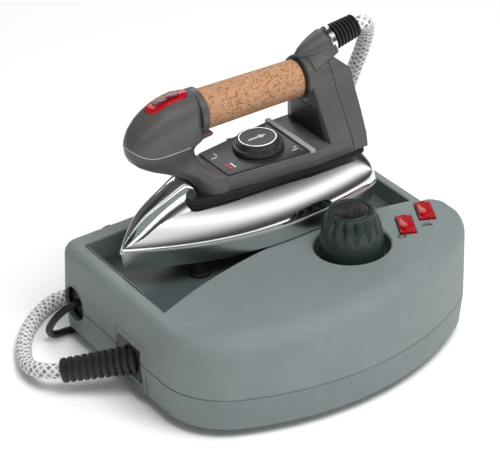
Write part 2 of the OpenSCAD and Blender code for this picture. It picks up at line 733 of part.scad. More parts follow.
lead_r = lead_d / 2 - 0.05;
lead_coil_c = [-30, 200];
lead_coil_r = 37;
lead_run = [[-148, 101, 42], [-156, 101, 41.5], [-165, 103, 38], [-173, 107, 30], [-177, 113, 18], [-174, 118, 8],
    [-166, 120, 3.6], [-152, 120, 3.5], [-136, 115, 3.5], [-118, 109, 3.5], [-96, 114, 3.5], [-80, 132, 3.5],
    [-74, 156, 3.5], [-74, 186, 3.5]];
lead_tail = [[14, 206, 10.2], [12, 194, 12], [4, 184, 18], [-5, 179, 25.5], [-12, 178, 27], [-17.93, 178, 27]];
module mains_lead() {
    color("#17181a") {
        sweep(curve(lead_run, 3), lead_r, [0, 0, 1]);
        sweep(curve(lead_tail, 3), lead_r, [0, 0, 1]);
    }
}
module mains_lead_coil() {
    color("#17181a") translate([lead_coil_c[0], lead_coil_c[1], 0]) rotate_extrude($fn = 64)
        translate([lead_coil_r - 1.5 * lead_d, 0]) square([3 * lead_d, 2 * lead_d]);
}

plug_at = [-18, 178, 27];
plug_r = 13;
pin_r = 2.4;
pin_l = 19;
pin_gap = 19;
module mains_plug() {
    color("#17181a") translate(plug_at) rotate([0, -90, 0]) {
        difference() {
            union() {
                cylinder(r1 = 6, r2 = plug_r, h = 12);
                translate([0, 0, 12]) cylinder(r = plug_r, h = 22);
            }
            for (s = [-1, 1]) translate([0, s * pin_gap / 2, 30]) cylinder(r = pin_r, h = 5);
        }
    }
    color("#c8cbcd") translate(plug_at) rotate([0, -90, 0])
        for (s = [-1, 1]) translate([0, s * pin_gap / 2, 30]) cylinder(r = pin_r, h = 4 + pin_l);
}

tie_t = 1.2;
tie_w = 8;
tie_gap = 0.4;
module tie(c, r, angle, depth, height) {
    translate([c[0], c[1], 0]) rotate([0, 0, angle]) translate([r - depth / 2 - tie_t - tie_gap, -tie_w / 2, 0]) difference() {
        cube([depth + 2 * (tie_t + tie_gap), tie_w, height + tie_t]);
        translate([tie_t, -1, -1]) cube([depth + 2 * tie_gap, tie_w + 2, height + 1]);
    }
}
module coil_ties() {
    color("#2a2b2d") {
        tie(hose_coil_c, hose_coil_r, 75, hose_d, hose_d * (hose_turns + 0.99));
        tie(lead_coil_c, lead_coil_r, 100, 3 * lead_d, 2 * lead_d);
    }
}

module base_strain_relief() {
    color("#1b1c1d") difference() {
        on_relief() difference() {
            union() {
                cylinder(r = 10, h = relief_len);
                for (i = [0:9]) translate([0, 0, 8 + i * 6.2]) cylinder(r1 = 13 - 0.25 * i, r2 = 12.6 - 0.25 * i, h = 3.8);
            }
            translate([0, 0, relief_len - 18]) cylinder(r = hose_d / 2, h = 30);
        }
        translate([-half_l, -60, 0]) cube([60, 120, 80]);
    }
}

module hose_gland_block() {
    color("#202224") difference() {
        translate([-half_l, slot_y[0], slot_z[0]]) cube([14, slot_y[1] - slot_y[0], slot_z[1] - slot_z[0]]);
        translate([6 - half_l, 5, 36]) rotate([0, 90, 0]) cylinder(r = 7, h = 20);
    }
}

module mains_gland() {
    color("#0e0f10") translate([-half_l + 7, hole_y, hole_z]) rotate([0, 90, 0]) difference() {
        union() {
            cylinder(r = hole_r, h = 3);
            cylinder(r = 9, h = 9);
        }
        translate([0, 0, -1]) cylinder(r = lead_d / 2, h = 12);
    }
}

lower_casing();
upper_casing();
rest_pads();
feet();
casing_screws();
boiler_shell();
boiler_neck();
well_seal();
boiler_heater();
boiler_legs();
boiler_thermostat();
pressure_switch();
solenoid_valve_body();
solenoid_coil();
solenoid_plunger();
plunger_spring();
steam_pipes();
terminal_block();
switch_housings();
boiler_rocker();
iron_rocker();
cap_core();
cap_seal();
cap_knob();
cap_insert();
soleplate();
heating_element();
steam_chamber_cover();
chrome_shell();
heat_shield();
handle_base();
control_panel();
thermostat();
dial();
dial_ring();
handle_head();
pilot_lens();
steam_button();
button_spring();
trigger();
trigger_pin_rod();
microswitch();
cork_grip();
handle_tube();
rear_post();
rear_cover();
iron_terminal_block();
hose_holder();
hose_clamp();
iron_strain_relief();
steam_hose_fall();
steam_hose_run();
steam_hose_coil();
mains_lead();
mains_lead_coil();
mains_plug();
coil_ties();
base_strain_relief();
hose_gland_block();
mains_gland();
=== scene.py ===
from math import acos, atan2, cos, degrees, exp, pi, radians, sin, sqrt, tan

import bpy
import numpy as np
from mathutils import Matrix, Vector


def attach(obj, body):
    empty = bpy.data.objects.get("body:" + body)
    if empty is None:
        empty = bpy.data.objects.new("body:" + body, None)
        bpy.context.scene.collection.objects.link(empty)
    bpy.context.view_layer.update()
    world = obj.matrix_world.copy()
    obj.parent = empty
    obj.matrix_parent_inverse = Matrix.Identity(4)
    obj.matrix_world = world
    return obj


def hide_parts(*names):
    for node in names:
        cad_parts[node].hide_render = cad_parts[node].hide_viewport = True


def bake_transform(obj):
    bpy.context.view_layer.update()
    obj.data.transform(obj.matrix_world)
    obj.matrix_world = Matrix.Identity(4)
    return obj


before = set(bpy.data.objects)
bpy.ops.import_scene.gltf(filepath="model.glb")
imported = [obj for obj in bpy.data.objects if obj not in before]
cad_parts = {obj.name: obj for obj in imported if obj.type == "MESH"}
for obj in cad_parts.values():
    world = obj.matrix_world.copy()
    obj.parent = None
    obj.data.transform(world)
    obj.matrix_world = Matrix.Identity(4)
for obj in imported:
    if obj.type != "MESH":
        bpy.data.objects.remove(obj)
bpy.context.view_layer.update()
MM = 0.001


def shift(x=0.0, y=0.0, z=0.0):
    """A frame moved by millimetres."""
    return Matrix.Translation((x * MM, y * MM, z * MM))


def spin(turn, axis):
    """A frame turned about one of its axes, in degrees."""
    return Matrix.Rotation(radians(turn), 4, axis)


def along(place, d):
    """The point d mm along a frame's Z axis, in mm."""
    return (place @ Vector((0, 0, d * MM))) / MM


# ---------------- the part's frames, in mm and degrees
WORLD = Matrix.Identity(4)
# The deck slopes up to the right, through this height at the middle of the base
DECK_Z, INCLINE = 105.0, 4.0
DECK = shift(z=DECK_Z) @ spin(-INCLINE, "Y")
CAP = DECK @ shift(46, -40)
# The iron lies along the recess: origin under its nose, +X to its heel
IRON = DECK @ shift(-136, 47, 1)
DIAL_X = 145.0
DIAL_AXIS = IRON @ shift(DIAL_X)
# The grip's axis is all but level
GRIP = IRON @ shift(87, 0, 129) @ spin(91.5, "Y")
# The post leans forwards. Its frame is as seen from behind, with Y up it and the seam of its cover at Z 0
BASE_TOP, POST_FOOT, POST_LEAN = 56.0, 222.7, 6.5
POST = IRON @ shift(POST_FOOT, 0, BASE_TOP) @ spin(-POST_LEAN, "Y") @ spin(90, "Z") @ spin(90, "X")
# The hose holder points back over the post and a little up
HOLDER = IRON @ shift(195, 0, 148) @ spin(81, "Y")
# The hose leaves the base backwards and a little down
RELIEF = shift(-150, -2, 37) @ spin(145, "Z") @ spin(90 + 12, "Y")
TRIGGER_PIN = IRON @ shift(77, 0, 107) @ spin(90, "X")
# The round opening for the mains lead, in the left wall
LEAD_HOLE = shift(-163, 101, 42) @ spin(90, "Y")


# ---------------- materials
def feed(tree, socket, value):
    """Links an output to a node's input, or sets the input to a value."""
    if isinstance(value, bpy.types.NodeSocket):
        tree.links.new(value, socket)
    else:
        socket.default_value = value


def new_node(tree, kind, **inputs):
    """A shader node with its inputs fed."""
    n = tree.nodes.new("ShaderNode" + kind)
    for name, value in inputs.items():
        feed(tree, n.inputs[name], value)
    return n


def new_material(name):
    """A material, its node tree and the inputs of its surface."""
    m = bpy.data.materials.new(name)
    m.use_nodes = True
    return m, m.node_tree, m.node_tree.nodes["Principled BSDF"].inputs


def material(name, color, rough=0.5, metal=0.0, bump=0.0, scale=600.0, coat=0.0, spot=None, vary=0.0,
             specular=0.5):
    """A principled material. bump is a fine grain, spot a second colour in small flecks (colour, scale and the ramp's
    ends), vary a soft change of shade."""
    m, tree, surface = new_material(name)
    for key, value in (("Base Color", (*color, 1)), ("Roughness", rough), ("Metallic", metal), ("Coat Weight", coat),
                       ("Coat Roughness", 0.08), ("Specular IOR Level", specular)):
        surface[key].default_value = value
    if not (bump or spot or vary):
        return m
    where = new_node(tree, "TexCoord").outputs["Object"]
    if bump:
        grain = new_node(tree, "TexNoise", Vector=where, Scale=scale, Detail=3)
        relief = new_node(tree, "Bump", Strength=bump, Distance=0.0005, Height=grain.outputs["Fac"])
        feed(tree, surface["Normal"], relief.outputs["Normal"])
    if spot or vary:
        tone = new_node(tree, "TexNoise", Vector=where, Scale=spot[1] if spot else 45, Detail=4)
        ramp = new_node(tree, "ValToRGB", Fac=tone.outputs["Fac"])
        low, high = ramp.color_ramp.elements
        if spot:
            low.position, high.position = spot[2]
            low.color, high.color = (*spot[0], 1), (*color, 1)
        else:
            low.position, high.position = 0.35, 0.65
            low.color = (*[c * (1 - vary) for c in color], 1)
            high.color = (*[c * (1 + vary) for c in color], 1)
        feed(tree, surface["Base Color"], ramp.outputs["Color"])
    return m


MAT = {
    "casing": material("casing plastic", (0.185, 0.218, 0.218), 0.5, bump=0.35, scale=900, vary=0.03),
    "casing_dark": material("lower casing plastic", (0.168, 0.203, 0.203), 0.5, bump=0.35, scale=900, vary=0.03),
    # Casing plastic darkened for the recess's floor: painted shade
    "recess": material("recess painted shade", (0.062, 0.080, 0.080), 0.5, bump=0.35, scale=900),
    "handle": material("handle plastic", (0.080, 0.076, 0.073), 0.34, bump=0.05, scale=900, vary=0.05),
    "panel": material("panel plastic", (0.022, 0.022, 0.023), 0.35),
    "black": material("black plastic", (0.012, 0.012, 0.013), 0.42),
    "dial": material("dial plastic", (0.026, 0.026, 0.027), 0.38),
    "knob": material("cap plastic", (0.021, 0.033, 0.032), 0.33, bump=0.05, scale=700, coat=0.15),
    "rubber": material("rubber", (0.014, 0.014, 0.015), 0.6, bump=0.1, scale=700),
    "chrome": material("polished chrome", (0.9, 0.9, 0.91), 0.055, metal=1.0),
    "badge": material("cap badge", (0.46, 0.48, 0.48), 0.28, metal=1.0),
    "satin": material("satin chrome", (0.82, 0.83, 0.84), 0.16, metal=1.0),
    "aluminium": material("brushed aluminium", (0.68, 0.69, 0.70), 0.3, metal=1.0, bump=0.05, scale=260),
    "steel": material("steel", (0.62, 0.63, 0.64), 0.3, metal=1.0),
    "brass": material("brass", (0.72, 0.53, 0.24), 0.3, metal=1.0),
    "copper": material("copper", (0.75, 0.40, 0.25), 0.3, metal=1.0),
    "ceramic": material("ceramic", (0.75, 0.73, 0.67), 0.5),
    "red": material("red lens", (0.36, 0.004, 0.009), 0.16, coat=0.35, specular=0.35),
    "red_dark": material("dark red", (0.10, 0.003, 0.006), 0.16, coat=0.4),
    "cork": material("cork", (0.45, 0.245, 0.138), 0.62, bump=0.35, scale=260,
                     spot=((0.25, 0.115, 0.055), 420, (0.36, 0.52))),
    "print_dark": material("dark print", (0.018, 0.02, 0.02), 0.5),
    "print_light": material("light print", (0.6, 0.6, 0.58), 0.45),
    "print_red": material("red print", (0.45, 0.02, 0.03), 0.45),
    # Light colour on handle plastic along the chin's crease and the panel's ledge: a painted highlight
    "crease": material("crease painted highlight", (0.32, 0.31, 0.30), 0.3),
    "lead": material("mains lead", (0.008, 0.008, 0.009), 0.4),
}


def math_node(tree, kind, *values):
    """A maths node's output; values are numbers or other outputs."""
    n = new_node(tree, "Math")
    n.operation = kind
    for socket, value in zip(n.inputs, values):
        feed(tree, socket, value)
    return n.outputs[0]


def mix_node(tree, factor, low, high):
    """A colour between low and high, which are colours or outputs."""
    n = new_node(tree, "Mix")
    n.data_type = "RGBA"
    for place, value in (("Factor", factor), (6, low), (7, high)):
        feed(tree, n.inputs[place], (*value, 1) if isinstance(value, tuple) else value)
    return n.outputs[2]


# Share of the weave's pitch past which a strand shows
STRAND = 0.68


def braid_material():
    """White strands crossing over grey diamonds. The UV map runs along the hose in u and round it in v."""
    m, tree, surface = new_material("woven braid")
    surface["Roughness"].default_value = 0.7
    uv = new_node(tree, "UVMap")
    uv.uv_map = "weave"
    u, v = new_node(tree, "SeparateXYZ", Vector=uv.outputs["UV"]).outputs[:2]

    def stripe(value):
        wave = math_node(tree, "SUBTRACT", math_node(tree, "FRACT", value), 0.5)
        return math_node(tree, "MULTIPLY", math_node(tree, "ABSOLUTE", wave), 2)

    both = math_node(tree, "ADD", u, v)
    edge = math_node(tree, "MAXIMUM", stripe(both), stripe(math_node(tree, "SUBTRACT", u, v)))
    half = math_node(tree, "MULTIPLY", math_node(tree, "FLOOR", both), 0.5)
    swap = math_node(tree, "GREATER_THAN", math_node(tree, "FRACT", half), 0.25)
    diamond = mix_node(tree, swap, (0.40, 0.41, 0.41), (0.22, 0.23, 0.23))
    strand = math_node(tree, "GREATER_THAN", edge, STRAND)
    feed(tree, surface["Base Color"], mix_node(tree, strand, diamond, (0.84, 0.85, 0.85)))
    relief = new_node(tree, "Bump", Strength=0.7, Distance=0.0012, Height=edge)
    feed(tree, surface["Normal"], relief.outputs["Normal"])
    return m


MAT["braid"] = braid_material()


# ---------------- mesh builders, in millimetres in a given frame
def add(name, data):
    """A new object of the scene."""
    o = bpy.data.objects.new(name, data)
    bpy.context.scene.collection.objects.link(o)
    return o


def mesh(name, points, faces, place=WORLD, mat="handle", angle=35):
    """A mesh of points in mm, put in place by a frame, smooth but for edges sharper than angle."""
    data = bpy.data.meshes.new(name)
    data.from_pydata([place @ (Vector(p) * MM) for p in points], [], faces)
    data.validate()
    data.materials.append(MAT[mat])
    data.shade_smooth()
    data.set_sharp_from_angle(angle=radians(angle))
    return add(name, data)


def bevel(obj, width, segments=3, angle=40):
    """Rounds the edges sharper than angle by width mm."""
    m = obj.modifiers.new("edges", "BEVEL")
    m.width = width * MM
    m.segments = segments
    m.limit_method = "ANGLE"
    m.angle_limit = radians(angle)
    m.harden_normals = True
    return obj


def side_faces(n, rings):
    """The faces between rings of n points each."""
    return [[k * n + i, k * n + (i + 1) % n, (k + 1) * n + (i + 1) % n, (k + 1) * n + i]
            for k in range(rings - 1) for i in range(n)]


def loft(name, rings, place=WORLD, mat="handle", angle=35):
    """A closed solid through rings of points, each with the same number of points."""
    n = len(rings[0])
    points = [p for r in rings for p in r]
    faces = [list(range(n))[::-1]] + side_faces(n, len(rings)) + [[(len(rings) - 1) * n + i for i in range(n)]]
    return mesh(name, points, faces, place, mat, angle)


def lathe(name, profile, place=WORLD, mat="handle", n=96, angle=35, wave=None):
    """A solid turned about the frame's Z axis. profile is (radius, height) upwards on the outside; wave changes the
    radius by angle and height."""
    rings = []
    for r, z in profile:
        ring = []
        for i in range(n):
            a = 2 * pi * i / n
            rr = max(r, 0.01) * (wave(a, z) if wave else 1)
            ring.append((rr * cos(a), rr * sin(a), z))
        rings.append(ring)
    return loft(name, rings, place, mat, angle)


def rod(r, low, high, place, n=96):
    """A plain round cutter."""
    return lathe("cutter", [(r, low), (r, high)], place, n=n)


def hollow_lathe(name, profile, place=WORLD, mat="handle", n=96):
    """A ring-shaped solid: profile is a closed loop of (radius, height)."""
    points, faces, m = [], [], len(profile)
    for i in range(n):
        a = 2 * pi * i / n
        points += [(r * cos(a), r * sin(a), z) for r, z in profile]
    for i in range(n):
        for k in range(m):
            a, b = i * m, ((i + 1) % n) * m
            faces.append([a + k, b + k, b + (k + 1) % m, a + (k + 1) % m])
    return mesh(name, points, faces, place, mat)


def flat_ring(outline, z):
    return [(x, y, z) for x, y in outline]


def prism(name, outline, low, high, place=WORLD, mat="handle", edge=0.0):
    """An outline pushed along Z from low to high, with its edges rounded by edge mm."""
    o = loft(name, [flat_ring(outline, low), flat_ring(outline, high)], place, mat)
    return bevel(o, edge) if edge else o


def box(name, low, high, place=WORLD, mat="handle", edge=0.0):
    return prism(name, [(low[0], low[1]), (high[0], low[1]), (high[0], high[1]), (low[0], high[1])],
                 low[2], high[2], place, mat, edge)


def spline(a, b, c, d, t):
    """The point at a share t of the way from b to c of a Catmull-Rom curve through a, b, c and d."""
    return 0.5 * (2 * b + (c - a) * t + (2 * a - 5 * b + 4 * c - d) * t * t + (3 * b - a - 3 * c + d) * t ** 3)


def smooth_curve(points, steps):
    """Points of a Catmull-Rom curve through points."""
    p = [Vector(q) for q in points]
    out = []
    for i in range(len(p) - 1):
        a, b, c, d = p[max(i - 1, 0)], p[i], p[i + 1], p[min(i + 2, len(p) - 1)]
        out += [spline(a, b, c, d, k / steps) for k in range(steps + (i == len(p) - 2))]
    return out


def lengths(p):
    """How far along a line each of its points is."""
    return np.concatenate([[0], np.cumsum(np.linalg.norm(np.diff(p, axis=0), axis=1))])


def even(points, step):
    """The same line with points about step mm apart, and its length."""
    p = np.array([list(q) for q in points])
    far = lengths(p)
    at = np.linspace(0, far[-1], max(2, round(far[-1] / step) + 1))
    return np.stack([np.interp(at, far, p[:, i]) for i in range(3)], 1), far[-1]


def tube(name, points, radius, mat, n=24, place=WORLD, around=8, per_mm=0.0):
    """A round tube along points in mm, with a UV map named weave."""
    p = np.array([list(q) for q in points], float)
    tangent = np.gradient(p, axis=0)
    tangent /= np.linalg.norm(tangent, axis=1)[:, None]
    side = np.cross(tangent[0], [0, 0, 1] if abs(tangent[0][2]) < 0.9 else [0, 1, 0])
    side /= np.linalg.norm(side)
    verts, uvs = [], []
    for i, t in enumerate(tangent):
        side = side - (side @ t) * t
        side /= np.linalg.norm(side)
        other = np.cross(t, side)
        for k in range(n):
            a = 2 * pi * k / n
            verts.append(tuple(p[i] + radius * (cos(a) * side + sin(a) * other)))
    u = lengths(p) * per_mm
    for i in range(len(p) - 1):
        for k in range(n):
            v0, v1 = around * k / n, around * (k + 1) / n
            uvs += [(u[i], v0), (u[i], v1), (u[i + 1], v1), (u[i + 1], v0)]
    uvs += [(0, 0)] * (2 * n)
    faces = side_faces(n, len(p)) + [list(range(n))[::-1], [(len(p) - 1) * n + k for k in range(n)]]
    o = mesh(name, verts, faces, place, mat)
    layer = o.data.uv_layers.new(name="weave")
    layer.data.foreach_set("uv", [c for uv in uvs for c in uv])
    return o


def cut(obj, *cutters, how="DIFFERENCE"):
    """Takes each cutter away from obj, or keeps what is inside it, and removes the cutter."""
    for c in cutters:
        m = obj.modifiers.new("cut", "BOOLEAN")
        m.operation = how
        m.solver = "MANIFOLD"
        m.object = c
    settle(obj)
    for c in cutters:
        bpy.data.objects.remove(c)
    obj.data.shade_smooth()
    obj.data.set_sharp_from_angle(angle=radians(35))
    return obj


def settle(obj):
    """Makes the modifiers part of the mesh."""
    bpy.context.view_layer.update()
    done = bpy.data.meshes.new_from_object(obj.evaluated_get(bpy.context.evaluated_depsgraph_get()))
    obj.modifiers.clear()
    obj.data = done


def even_shading(obj):
    """Weighs each face's normal by its area, so that flat faces next to a cut stay evenly lit."""
    m = obj.modifiers.new("even", "WEIGHTED_NORMAL")
    m.keep_sharp = True
    m.weight = 90
    settle(obj)


def put(obj, body, *nodes, slot=None):
    """obj rides on body and stands for CAD nodes."""
    if nodes:
        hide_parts(*nodes)
    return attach(obj, body)


def stadium(length, r, n=24):
    """A long round-ended outline along X."""
    half = length / 2 - r
    right = [(half + r * sin(pi * i / n), -r * cos(pi * i / n)) for i in range(n + 1)]
    return right + [(-x, -y) for x, y in right]


def bend(t, a, b, c):
    """A quadratic curve from a to c, drawn towards b."""
    return (1 - t) ** 2 * a + 2 * t * (1 - t) * b + t * t * c


def rounded(outline, r, n=6):
    """The outline with each corner turned into an arc of about radius r."""
    out, m = [], len(outline)
    for i in range(m):
        a, b, c = (Vector(outline[(i + k) % m]) for k in (-1, 0, 1))
        u, v = (a - b), (c - b)
        d = min(r, u.length * 0.45, v.length * 0.45)
        p, q = b + u.normalized() * d, b + v.normalized() * d
        for k in range(n + 1):
            t = k / n
            out.append(tuple(bend(t, p, b, q)))
    return out


# ---------------- base casing
# Half sizes of the casing, heights of its seam and underside, wall, rounding of the deck's edge, lean of the wall
HALF_L, HALF_D, SEAM, FOOT, WALL, EDGE, DRAFT = 158.0, 129.5, 40.3, 8.0, 3.0, 22.0, 1.5
# Each casing draws in by this much over this height at the seam, and stops this far short of it
GROOVE, GROOVE_H = 0.9, 0.15
# Radii of the outline: front, left end, right lobe, the corner behind it and the back; x of the recess's right rim
FRONT_R, LEFT_R, LOBE_R, EAR_R, REAR_R, RIM_X = 271.0, 66.0, 38.0, 20.0, 16.0, 140.0
FRONT = (-17.0, FRONT_R - HALF_D)


def inside_front(x, r):
    """The centre of an arc of radius r that runs smoothly into the front arc."""
    return x, FRONT[1] - sqrt((FRONT_R - r) ** 2 - (x - FRONT[0]) ** 2)


LEFT, LOBE = inside_front(LEFT_R - HALF_L, LEFT_R), inside_front(HALF_L - LOBE_R, LOBE_R)
EAR = (HALF_L - EAR_R, -36.0)
LEFT_A = degrees(atan2(LEFT[1] - FRONT[1], LEFT[0] - FRONT[0])) + 360
LOBE_A = degrees(atan2(LOBE[1] - FRONT[1], LOBE[0] - FRONT[0])) + 360
# Arcs of the outline: centre, radius, first and last angle, steps, share of the edge rounding at each end,
# and 1 where the next arc draws the last point
ARCS = [
    (LEFT, LEFT_R, 180, LEFT_A, 26, 0.45, 0.9, 1),
    (FRONT, FRONT_R, LEFT_A, LOBE_A, 60, 0.9, 0.9, 1),
    (LOBE, LOBE_R, LOBE_A, 360, 18, 0.9, 0.4, 0),
    (EAR, EAR_R, 0, 80, 14, 0.4, 0.12, 0),
    ((RIM_X, EAR[1] + EAR_R), 0, 45, 45, 1, 0.12, 0.12, 1),
    ((RIM_X - REAR_R, HALF_D - REAR_R), REAR_R, 0, 90, 12, 0.2, 0.4, 0),
    ((REAR_R - HALF_L, HALF_D - REAR_R), REAR_R, 90, 180, 12, 0.4, 0.45, 0),
]


def casing_ring(inset, round_by=0.0, flat=None, drop=0.0, round_drop=0.0):
    """The casing's outline, inset from the wall: at the height flat, or else drop below the deck's slope."""
    out = []
    for centre, radius, a0, a1, steps, w0, w1, skip in ARCS:
        for i in range(steps + 1 - skip):
            s = i / steps
            w = w0 + (w1 - w0) * s
            e = inset + round_by * w
            r = -e * sqrt(2) if radius == 0 else radius - e
            a = radians(a0 + (a1 - a0) * s)
            x = centre[0] + r * cos(a)
            z = flat if flat is not None else DECK_Z + tan(radians(INCLINE)) * x - drop - round_drop * w
            out.append((x, centre[1] + r * sin(a), z))
    return out


def top_rings(inset, drop, steps=12):
    """The rounded edge of the deck, from the wall up."""
    return [casing_ring(inset + DRAFT, EDGE * (1 - cos(a)), None, drop, EDGE * (1 - sin(a)))
            for a in [pi / 2 * k / steps for k in range(steps + 1)]]


# Left, right and back sides of the recess and its depth; centre and radius of its front; radius of its back corners
RECESS_L, RECESS_R, RECESS_B, RECESS_D = -142.0, 130.0, 107.0, 20.0
ARC_C, ARC_R, CORNER = (20.6, -407.0), 410.0, 3.0


def arc(centre, r, first, last, steps):
    """Points of an arc, in degrees."""
    turns = [radians(first + (last - first) * k / steps) for k in range(steps + 1)]
    return [(centre[0] + r * cos(a), centre[1] + r * sin(a)) for a in turns]


def recess_plan(grow):
    """The recess seen from above the deck, with its back corners rounded."""
    x0, x1, y1, r = RECESS_L - grow, RECESS_R + grow, RECESS_B + grow - CORNER, ARC_R - grow
    front = arc(ARC_C, r, *(degrees(acos((x - ARC_C[0]) / r)) for x in (x1, x0)), 48)
    return (front + arc((x0 + CORNER, y1), CORNER, 180, 90, 6) + arc((x1 - CORNER, y1), CORNER, 90, 0, 6))[::-1]


ROCKERS = [(101.4, -44.4), (129, -35.6)]
ROCKER_FRAMES = [DECK @ shift(x, y) @ spin(-26, "Z") for x, y in ROCKERS]


def side_openings():
    """The lead's round hole and the hose's square one, on the left side, through both casings."""
    return rod(16.5, 0, 15, LEAD_HOLE, 64), box("c", (-163, -14.5, 19.7), (-148, 24.5, 52.2))


def casing_cutters():
    """The well with its rounded rim, the neck's hole, and the switch slots."""
    well = lathe("c", [(34.5, -22), (34.5, -1.4), (35.9, 0), (36.5, 0.6), (60, 24)], CAP, n=128)
    return [well, rod(16.5, -30, -10, CAP), *side_openings(),
            *(box("c", (-8, -15.5, -10), (8, 15.5, 10), place) for place in ROCKER_FRAMES)]


upper = loft("upper_shell", [casing_ring(GROOVE, flat=SEAM + GROOVE_H), casing_ring(0.3, flat=SEAM + GROOVE)]
             + top_rings(0, 0), mat="casing", angle=30)
tray_low = prism("tray", recess_plan(2.5), -RECESS_D - WALL, -1.0, DECK, "casing")
inner = loft("inner", [casing_ring(3.3, flat=SEAM - 1)] + top_rings(WALL, WALL, 8), mat="casing")
cut(inner, tray_low, rod(37.5, -25, -1, CAP))
recess = loft("recess", [flat_ring(recess_plan(0), -RECESS_D), flat_ring(recess_plan(0), -1.0),
                         flat_ring(recess_plan(1.0), 0.0), flat_ring(recess_plan(1.6), 0.6),
                         flat_ring(recess_plan(1.6), 60)], DECK, "casing")
cut(upper, inner, recess, *casing_cutters())
even_shading(upper)
put(upper, "base", "upper_casing", slot="casing")

lower = loft("lower_shell", [casing_ring(inset, flat=z) for inset, z in (
    (6.5, FOOT), (5, FOOT + 0.6), (3.6, FOOT + 2), (2.9, FOOT + 4), (0.3, SEAM - GROOVE), (GROOVE, SEAM - GROOVE_H))],
             mat="casing_dark", angle=30)
lower_in = loft("lower_in", [casing_ring(8, flat=FOOT + WALL), casing_ring(3.3, flat=SEAM + 1)], mat="casing_dark")
cut(lower, lower_in, *side_openings())
put(lower, "base", "lower_casing", slot="casing_dark")

# Darker lining of the recess's floor, a sheet of painted shade; along its left side a black strip of painted shadow
# in the gap, and the lip
floor_shade = prism("recess_floor_painted_shade", recess_plan(-1.0), -RECESS_D + 0.02, -RECESS_D + 0.5, DECK, "recess")
put(floor_shade, "base", slot="casing")
# The black strip in the gap at the recess's left side is painted shadow
put(box("recess_gap_painted_shadow", (-142.0, 4.5, -5), (-140.7, 104.0, -0.9), DECK, "black"), "base", slot="casing")
put(box("recess_lip", (-140.7, 4.8, -5), (-139.9, 103.6, -0.7), DECK, "casing", 0.3), "base", slot="casing")

# Raised frame round the opening for the hose: y and z of its sides, and its corners' radius
FRAME_Y, FRAME_Z, FRAME_R = (-21.5, 27), (12.4, 58.5), 3
frame_line = []
for cy, cz, first in ((FRAME_Y[1] - FRAME_R, FRAME_Z[0] + FRAME_R, -90),
                      (FRAME_Y[1] - FRAME_R, FRAME_Z[1] - FRAME_R, 0),
                      (FRAME_Y[0] + FRAME_R, FRAME_Z[1] - FRAME_R, 90),
                      (FRAME_Y[0] + FRAME_R, FRAME_Z[0] + FRAME_R, 180)):
    frame_line += arc((cy, cz), FRAME_R, first, first + 90, 6)
frame_line += [(24, FRAME_Z[0]), (22, FRAME_Z[0])]
slot_frame = tube("hose_opening_frame", [(-157.3, y, z) for y, z in frame_line], 0.7, "casing", n=8)
put(slot_frame, "base", slot="casing")
hole_rim = hollow_lathe("lead_opening_rim", [(16.4, 0), (17.6, 0), (17.6, 0.9), (17.2, 1.2), (16.7, 1.2),
                                             (16.4, 0.9)], shift(-156.7, 101, 42) @ spin(-90, "Y"), "casing")
put(hole_rim, "base", slot="casing")

# Rubber studs in the recess
for i, (x, y) in enumerate([(-70, 30), (-70, 66), (60, 14), (60, 80)]):
    stud = lathe(f"rest_stud_{i + 1}", [(10, 0), (10, 3.2), (9.3, 4), (8.6, 4.2), (8.2, 4), (7.6, 4.2), (7.0, 14),
                                        (6.4, 18.8), (5.6, 20.4), (4.2, 20.7), (0, 20.7)],
                 DECK @ shift(x, y, -RECESS_D), "rubber", 64)
    put(stud, "base", *(["rest_pads"] if i == 0 else []), slot="rubber")

# Feet
for i, (x, y) in enumerate([(-118, 68), (112, 90), (-100, -55), (112, -50), (0, -98)]):
    foot = lathe(f"foot_{i + 1}", [(9.8, 0), (10.5, 0.6), (12, 7.9), (0, 7.9)], shift(x, y), "rubber", 48)
    put(foot, "base", *(["feet"] if i == 0 else []), slot="rubber")

# ---------------- switches
for name, place in zip(("boiler_rocker", "iron_rocker"), ROCKER_FRAMES):
    body = box(f"{name}_key", (-7.2, -14.05, -8.9), (7.2, 14.05, 2.2), place, "red", 0.9)
    put(body, name, name, slot="red_lens")
    # Pillow top with pointed ends
    outline = rounded([(-7.0, -8.5), (-2.0, -13.9), (2.0, -13.9), (7.0, -8.5), (7.0, 8.5), (2.0, 13.9), (-2.0, 13.9),
                       (-7.0, 8.5)], 3.0, 4)
    levels = ((0.99, 2.1, 0), (0.99, 2.7, 0), (0.93, 3.6, -0.01), (0.80, 4.2, -0.02), (0.55, 4.55, -0.03),
              (0.2, 4.7, -0.03))
    rings = [[(x * k, y * k, z + tip * y) for x, y in outline] for k, z, tip in levels]
    top = loft(f"{name}_top", rings, place, "red", 60)
    put(top, name, slot="red_lens")

# ---------------- safety cap
FLUTES = 14


# Share of the radius a flute takes, its width as a share of the spacing, and the heights over which it comes and goes
FLUTE_DEPTH, FLUTE_WIDTH, FLUTE_IN, FLUTE_OUT = 0.17, 0.30, (12, 25), (29.3, 34.3)


def flute(a, z):
    """The cap's wall swings inwards between its ribs, less so near its rim and foot."""
    come = max(0.0, min(1.0, (z - FLUTE_IN[0]) / (FLUTE_IN[1] - FLUTE_IN[0]))) ** 1.3
    go = max(0.0, min(1.0, (FLUTE_OUT[1] - z) / (FLUTE_OUT[1] - FLUTE_OUT[0])))
    depth = FLUTE_DEPTH * come * go
    turn = (a * FLUTES / (2 * pi)) % 1.0
    dip = exp(-((turn - 0.5) / FLUTE_WIDTH) ** 2 * 2)
    return 1 - depth * dip


